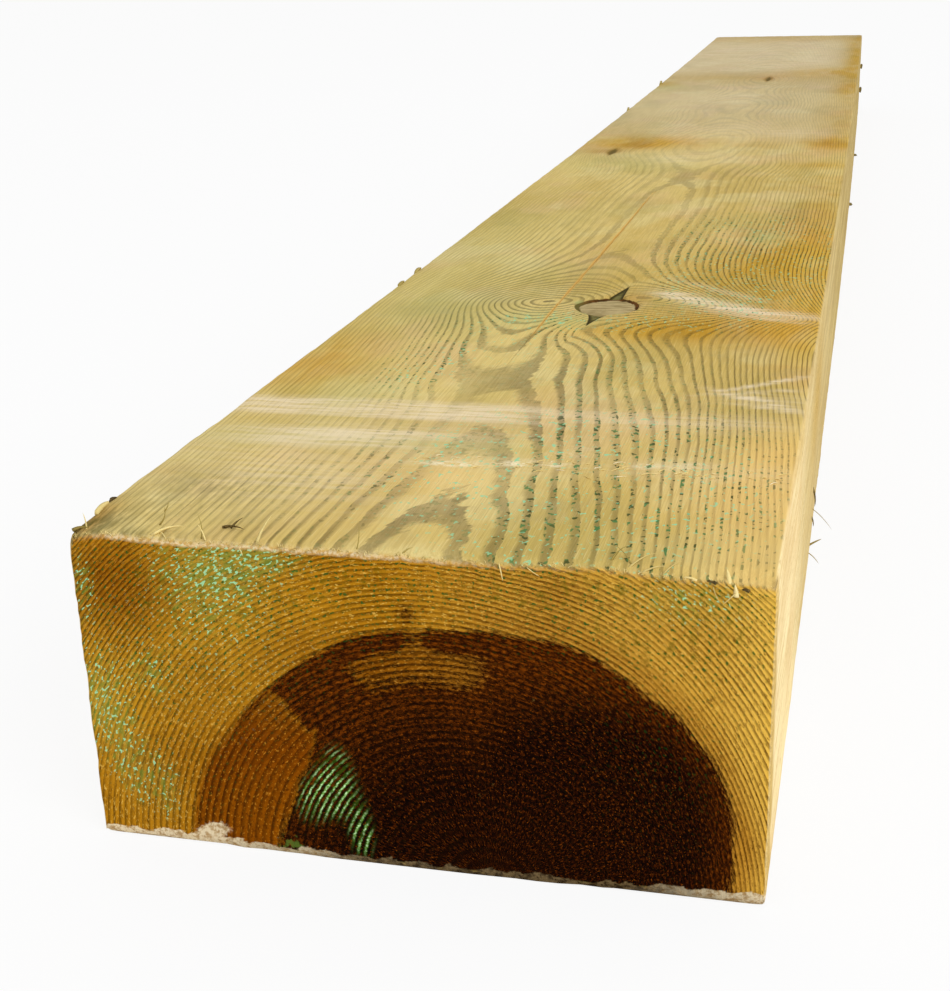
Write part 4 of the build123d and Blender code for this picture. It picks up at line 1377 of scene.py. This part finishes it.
# %% Knot, wings, pockets and check
GROWN = {"core": paint(188, 168, 120), "core ring": paint(152, 134, 90), "bark": paint(70, 48, 22),
         "red bark": paint(104, 66, 30), "green bark": paint(108, 102, 52), "fringe": paint(150, 168, 104),
         "wing": paint(96, 90, 46), "pale wing": paint(118, 110, 62), "wing edge": paint(60, 52, 22),
         "halo": paint(150, 112, 34), "pocket": paint(90, 76, 30), "check": paint(214, 166, 84)}
knot = mark("knot")
knot_grain = noise(300, 240, detail=3.0)
rim_width = rise(noise(70, 70), 0.3, 0.7, -1.2, -2.8)
core = mingle(patches_of(90, 420, 0.40, 0.62, detail=3.0), GROWN["core"], GROWN["core ring"])
rim = mingle(rise(knot_grain, 0.4, 0.6), GROWN["bark"], GROWN["red bark"])
rim = mingle(calc("MULTIPLY", mark("knot_fringe"), 0.75), rim, GROWN["green bark"])
knot_colour = mingle(rise(calc("SUBTRACT", knot, rim_width), -0.8, 0.4), core, rim)
colour = mingle(rise(knot, 0.55, -0.1), colour, knot_colour)
fringe = times(rise(knot, 5.0, 0.5), patches_of(110, 110, 0.42, 0.58, detail=3.0), mark("knot_fringe"))
colour = mingle(times(fringe, rise(knot, -0.2, 0.6), 0.6), colour, GROWN["fringe"])
wing_colour = mingle(rise(knot_grain, 0.38, 0.62), GROWN["wing"], GROWN["pale wing"])
wing_colour = mingle(rise(mark("wing"), -2.6, -0.6), wing_colour, GROWN["wing edge"])
wing_amount = times(rise(mark("wing"), 0.35, -0.35), rise(knot, -1.0, 0.5))
colour = mingle(wing_amount, colour, wing_colour)
pocket_halo = rise(calc("MULTIPLY_ADD", noise(120, 60), -6.0, mark("pocket")), 3.0, -3.0)
colour = mingle(calc("MULTIPLY", pocket_halo, 0.5), colour, GROWN["halo"])
colour = mingle(rise(mark("pocket"), 1.8, -2.2, 0.0, 0.85), colour, GROWN["pocket"])
check_rough = calc("MULTIPLY_ADD", calc("SUBTRACT", noise(400, 60), 0.5), 1.2, mark("check"))
colour = mingle(calc("MULTIPLY", rise(check_rough, 0.2, 0.75), 0.8), colour, GROWN["check"])
print("colours of knot, pockets and check", len(GROWN))

# %% [markdown]
# ## Relief and gloss
# Sawn wood is matt, so its gloss is almost nothing. What the mesh is too coarse for, the raised
# fibres, the harder late wood and the marks of the saw blade, is a bump of a fraction of a
# millimetre. Each part adds its height, and one Bump node turns the sum into tilted light.

# %% Relief, gloss and the finished wood
LATE_RAISED, FIBRE_RAISED, FINE_RAISED, SAW_RAISED = 0.35, 0.9, 0.45, 0.35
BUMP_METRES, BUMP_STRENGTH = 0.0006, 0.55
SMOOTHEST, ROUGHEST, GLOSS = 0.68, 0.88, 0.02
saw_marks = noise(14, 300, detail=2.0, rise_scale=700)
height = calc("MULTIPLY", late_wood, LATE_RAISED)
height = calc("MULTIPLY_ADD", fibre, FIBRE_RAISED, height)
height = calc("MULTIPLY_ADD", fine_fibre, FINE_RAISED, height)
height = calc("MULTIPLY_ADD", saw_marks, SAW_RAISED, height)
bump = add(tree, "ShaderNodeBump", {"Height": height, "Distance": BUMP_METRES, "Strength": BUMP_STRENGTH})
roughness = rise(fibre, 0.3, 0.7, SMOOTHEST, ROUGHEST)
surface = add(tree, "ShaderNodeBsdfPrincipled",
              {"Base Color": colour, "Roughness": roughness, "Specular IOR Level": GLOSS, "Normal": bump})
wood_output = tree.nodes.new("ShaderNodeOutputMaterial")
tree.links.new(surface, wood_output.inputs["Surface"])
balk_mesh.materials.append(wood)
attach(balk, "root")
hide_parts("sleeper")
print("nodes in the wood finish", len(tree.nodes))

# %% [markdown]
# ## Torn fibres
# The saw left splinters, curls and loose fibres along the edges of the near end. Each is a thin
# blade: a diamond section carried along a bent path and drawn to a point. The larger ones are
# listed one by one, the fuzz along the edges at random, and all are joined into one piece.

# %% Make the fibres
BLADE_RINGS = 7


def blade(root, tip, bulge, width, thick):
    """A blade from root to tip in mm: the middle of the path is pushed out by bulge along a
    parabola, and the width falls from root to tip as the square root of what is left."""
    t = np.linspace(0, 1, BLADE_RINGS)[:, None]
    root, tip, bulge = [np.array(v, float) for v in (root, tip, bulge)]
    path = root + (tip - root) * t + 4 * bulge * t * (1 - t)
    along = np.gradient(path, axis=0)
    along /= np.linalg.norm(along, axis=1, keepdims=True)
    side = np.cross(along, [0.3, 0.9, 0.32])
    side /= np.linalg.norm(side, axis=1, keepdims=True)
    over = np.cross(side, along)
    half = np.sqrt(np.clip(1 - t, 0.004, 1)) * 0.5
    corners = [path + side * half * width, path + over * half * thick, path - side * half * width,
               path - over * half * thick]
    return np.stack(corners, axis=1)


print("a blade has", BLADE_RINGS, "rings of four points")

# %% [markdown]
# ## The fibres that can be told apart
# The larger splinters were placed one by one, from the photograph: the torn corner at the
# left, the curls along the top edge, the whiskers at the foot of the right side, and bark that
# still clings to the left edge further back.

# %% Fibres listed one by one
# Each fibre: root, tip, bulge, width, thickness, and shade from 0 for bark to 1 for pale cream
FIBRES = [
    ((5, 5, 122), (4, 6, 130), (0.6, 0, 0), 1.2, 0.6, 0.9),
    ((1.5, 20, 124), (1, 33, 124.4), (0, 0, 0.9), 3.0, 1.6, 0.85),
    ((1, 31, 124), (1.5, 37, 124.6), (0, 0, 0.7), 2.4, 1.2, 0.0),
    ((1, 3, 124), (7, 4, 125), (0, 0, 0.8), 1.8, 1.0, 0.3),
    ((32, 2, 124.4), (44, 5, 127.5), (0, 0, 1.4), 1.5, 0.5, 1.0),
    ((34, 3, 124.6), (40, 9, 126), (0, 0, 1), 1.2, 0.5, 0.9),
    ((38, 1, 124.2), (33, 4, 126.4), (0, 0, 0.8), 1.0, 0.4, 0.85),
    ((31, 11, 125), (33, 12, 132), (1.2, 0, 0), 0.6, 0.5, 0.4),
    ((33, 12, 130), (35, 12, 134), (0.4, 0, 0), 0.5, 0.4, 0.45),
    ((51, 2, 124.6), (50, 3, 133.5), (0.8, 0, 0), 0.7, 0.5, 0.45),
    ((53, 1, 124.4), (49.5, 3, 129.5), (0, 0, 1.2), 1.0, 0.5, 0.95),
    ((55, 12, 125.2), (64, 10, 125.8), (0, 0, 0.9), 1.4, 0.9, 0.08),
    ((58, 12, 125.2), (61, 17, 127.5), (0, 0, 0.5), 0.9, 0.7, 0.1),
    ((66, -0.4, 123), (67.4, -0.9, 120), (0.4, -0.4, 0), 0.4, 0.3, 1.0),
    ((72, 1, 124.2), (77.5, 4, 134.5), (-0.8, 0, 0), 1.3, 0.5, 0.85),
    ((74, 0.5, 124), (71, -0.5, 128), (0, 0, 0), 0.6, 0.4, 0.7),
    ((108, 2, 124), (109, 3, 133.6), (0.5, 0, 0), 0.5, 0.4, 0.5),
    ((124, 1, 123.4), (128, 3, 126), (0, 0, 0.8), 0.7, 0.4, 0.6),
    ((158.5, -0.3, 123.6), (159.8, -0.8, 117.5), (0.3, -0.8, 0), 0.7, 0.4, 0.95),
    ((168, -0.2, 122.8), (172.5, -0.6, 120), (0.4, -0.8, 0), 0.5, 0.3, 0.95),
    ((195, 5, 124.4), (200, 14, 127), (0, 0, 1.5), 0.9, 0.5, 0.5),
    ((203, 3, 124), (196, 12, 127.5), (0, 0, 1), 0.8, 0.5, 0.55),
    ((201, 2, 123.4), (210, 8, 127.5), (0, 0, 1.2), 1.0, 0.5, 0.75),
    ((206, 1, 123), (214, 3, 125.2), (0, 0, 0.8), 0.9, 0.4, 0.8),
    ((213, 1, 123), (219, 6, 126), (0, 0, 1), 0.8, 0.4, 0.75),
    ((234.6, 0.6, 119.4), (233.6, 1.0, 126.4), (0.2, 0, 0), 2.8, 1.0, 1.0),
    ((236.8, -0.4, 117.4), (236.4, -0.2, 121.6), (0.1, 0, 0), 2.2, 0.8, 1.05),
    ((230.4, 0.2, 121.4), (227.0, 0.4, 121.9), (0, 0, 0.3), 2.0, 1.4, -0.4),
    ((241.0, 0.0, 119.4), (238.4, 0.2, 119.8), (0, 0, 0.3), 2.0, 1.4, -0.4),
    ((224, 0.4, 121.8), (219.6, 0.6, 122.6), (0, 0, 0.5), 1.6, 0.8, 1.0),
    ((237.5, -0.3, 119.6), (232.6, -1.0, 114.6), (0, -0.3, 0), 0.5, 0.3, 0.85),
    ((229.4, -0.3, 120.4), (232.2, -1.0, 114.8), (-0.3, -0.3, 0), 0.5, 0.3, 0.7),
    ((1.0, 446, 124), (0.2, 462, 124.4), (0, 0, 0.9), 3.4, 2.4, 0.6),
    ((1.0, 410, 124), (0.4, 424, 124.3), (0, 0, 0.6), 2.8, 2.0, 0.55),
    ((1.0, 1322, 124), (-0.6, 1345, 124.6), (0, 0, 1.2), 4.0, 3.0, 0.6),
    ((1.0, 1610, 124), (-1.0, 1642, 124.8), (0, 0, 1.6), 5.0, 4.0, 0.6),
    ((249.5, 345, 20), (261, 347, 7), (0.3, 0, 0.8), 0.6, 0.45, 0.4),
    ((249.5, 335, 2), (256.0, 335, 6), (0.2, 0, 0.3), 1.3, 0.7, 0.4),
    ((249.5, 310, 8), (255.5, 312, 1), (0.4, 0, 0.4), 0.8, 0.5, 0.45),
    ((249.4, 352, 30), (251.2, 350, 19), (0.8, 0, 0), 1.3, 0.8, 0.15),
    ((249.4, 344, 16), (251.0, 345, 9), (0.6, 0, 0), 1.1, 0.7, 0.15),
    ((249.2, 1405, 3), (251.8, 1428, 0.6), (0.8, 0, 0.6), 7.0, 3.0, 0.2),
    ((249.2, 1810, 3), (252.2, 1832, 0.8), (0.9, 0, 0.6), 8.0, 3.0, 0.2),
    ((249.2, 2396, 30), (252.4, 2399, 38), (0.6, 0, 0.6), 8.0, 3.0, 0.2),
    ((249.2, 2396, 70), (252.0, 2399, 77), (0.6, 0, 0.6), 7.0, 3.0, 0.2)]

print("fibres placed by hand", len(FIBRES))

# %% [markdown]
# ## Fuzz along the edges
# The rest is too fine to place by hand. Fuzz along the top edge and the fibres that a strap tore
# up are random within limits, from one seeded generator, so that every run gives the same ones.

# %% Random fuzz, and one mesh of all fibres
FUZZ_SEED, EDGE_FUZZ, SCRATCH_FUZZ = 5, 240, 60
FUZZ_WIDTH, FUZZ_THICK = 0.35, 0.25
STRAP_FROM, STRAP_TO, STRAP_ALONG, STRAP_SLANT = 95, 245, 98, 0.02
STRAP_FIBRE_WIDTH = 0.6


def edge_fuzz(count, draw):
    """Short random fibres along the near end's top edge, leaning up and forward."""
    u = draw.uniform(3, WIDTH - 2, count)
    z = THICKNESS + top_height(u, np.zeros(count)) + 0.1
    tips = np.stack([draw.normal(0, 0.9, count), draw.uniform(-0.9, 0.5, count),
                     draw.uniform(0.1, 1.7, count)], axis=1)
    roots = np.stack([u, draw.uniform(0, 1.2, count), z - 0.2], axis=1)
    return [(root, root + tip, (0, 0, 0.2), FUZZ_WIDTH, FUZZ_THICK, shade)
            for root, tip, shade in zip(roots, tips, draw.uniform(0.6, 1.05, count))]


def scratch_fuzz(count, draw):
    """Pale fibres torn up across the top by a strap, lying almost flat in a band near the end."""
    u = draw.uniform(STRAP_FROM, STRAP_TO, count)
    y = STRAP_ALONG + draw.normal(0, 4, count) - STRAP_SLANT * (u - STRAP_FROM)
    turn = draw.normal(0, 0.5, count)
    reach = draw.uniform(1.5, 6, count)
    roots = np.stack([u, y, np.full(count, THICKNESS - 0.1)], axis=1)
    lifts = draw.uniform(0.2, 0.7, count)
    tips = roots + np.stack([reach * np.cos(turn), reach * np.sin(turn), lifts], axis=1)
    return [(root, tip, (0, draw.normal(0, 0.5), 0.3), STRAP_FIBRE_WIDTH, FUZZ_THICK, shade)
            for root, tip, shade in zip(roots, tips, draw.uniform(0.9, 1.2, count))]


draw = np.random.default_rng(FUZZ_SEED)
all_fibres = FIBRES + edge_fuzz(EDGE_FUZZ, draw) + scratch_fuzz(SCRATCH_FUZZ, draw)
rings = np.stack([blade(*fibre_words[:5]) for fibre_words in all_fibres])
shades = np.repeat([fibre_words[5] for fibre_words in all_fibres], BLADE_RINGS * 4)
fibre_index = np.arange(rings.size // 3).reshape(rings.shape[:3])
walls = [quads(grid, wrap=True) for grid in fibre_index]
caps = np.concatenate([fibre_index[:, 0, ::-1], fibre_index[:, -1, :]])
fibre_points = rings.reshape(-1, 3)
fibre_faces = [np.concatenate(walls), caps]
fibre_world = bend(fibre_points[:, 0], fibre_points[:, 1], fibre_points[:, 2])
if enclosed_volume(fibre_world, fibre_faces) < 0:
    fibre_faces = [group[:, ::-1] for group in fibre_faces]
fibre_mesh = new_mesh("torn_fibres", fibre_world, fibre_faces)
fibre_mesh.attributes.new("shade", "FLOAT", "POINT").data.foreach_set("value", shades.astype(np.float32))
fibres = bpy.data.objects.new("torn_fibres", fibre_mesh)
bpy.context.scene.collection.objects.link(fibres)
fibre_volume = enclosed_volume(fibre_world, fibre_faces) / len(all_fibres) / MM ** 3
print("fibres", len(all_fibres), "mean volume in cubic mm", round(fibre_volume, 2))

# %% [markdown]
# ## Finish of the fibres
# Torn fibre is fresh inner wood, nearly white where it is thin, while bits of bark are brown. One
# finish does for both: it reads the shade that each fibre carries, and a noise dulls it in places.

# %% Finish of the fibres
TORN = {"bark": paint(70, 56, 24), "brown": paint(160, 142, 70), "straw": paint(244, 222, 150),
        "cream": paint(255, 246, 214), "dull": paint(196, 160, 84)}
TORN_ROUGH, TORN_GLOSS = 0.75, 0.25
torn, tree = new_finish("torn_fibre")
place = add(tree, "ShaderNodeTexCoord", output=3)
shade = mark("shade")
torn_colour = mingle(rise(shade, 0.0, 0.5), TORN["bark"], TORN["brown"])
torn_colour = mingle(rise(shade, 0.5, 1.0), torn_colour, TORN["straw"])
torn_colour = mingle(rise(shade, 1.0, 1.2), torn_colour, TORN["cream"])
dulled = mingle(0.5, torn_colour, TORN["dull"])
torn_colour = mingle(patches_of(900, 300, 0.4, 0.65, 0.4), torn_colour, dulled)
torn_surface = add(tree, "ShaderNodeBsdfPrincipled", {"Base Color": torn_colour, "Roughness": TORN_ROUGH,
                                                      "Specular IOR Level": TORN_GLOSS})
torn_output = tree.nodes.new("ShaderNodeOutputMaterial")
tree.links.new(torn_surface, torn_output.inputs["Surface"])
fibre_mesh.materials.append(torn)
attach(fibres, "root")
print("finish", torn.name, "on", fibres.name)
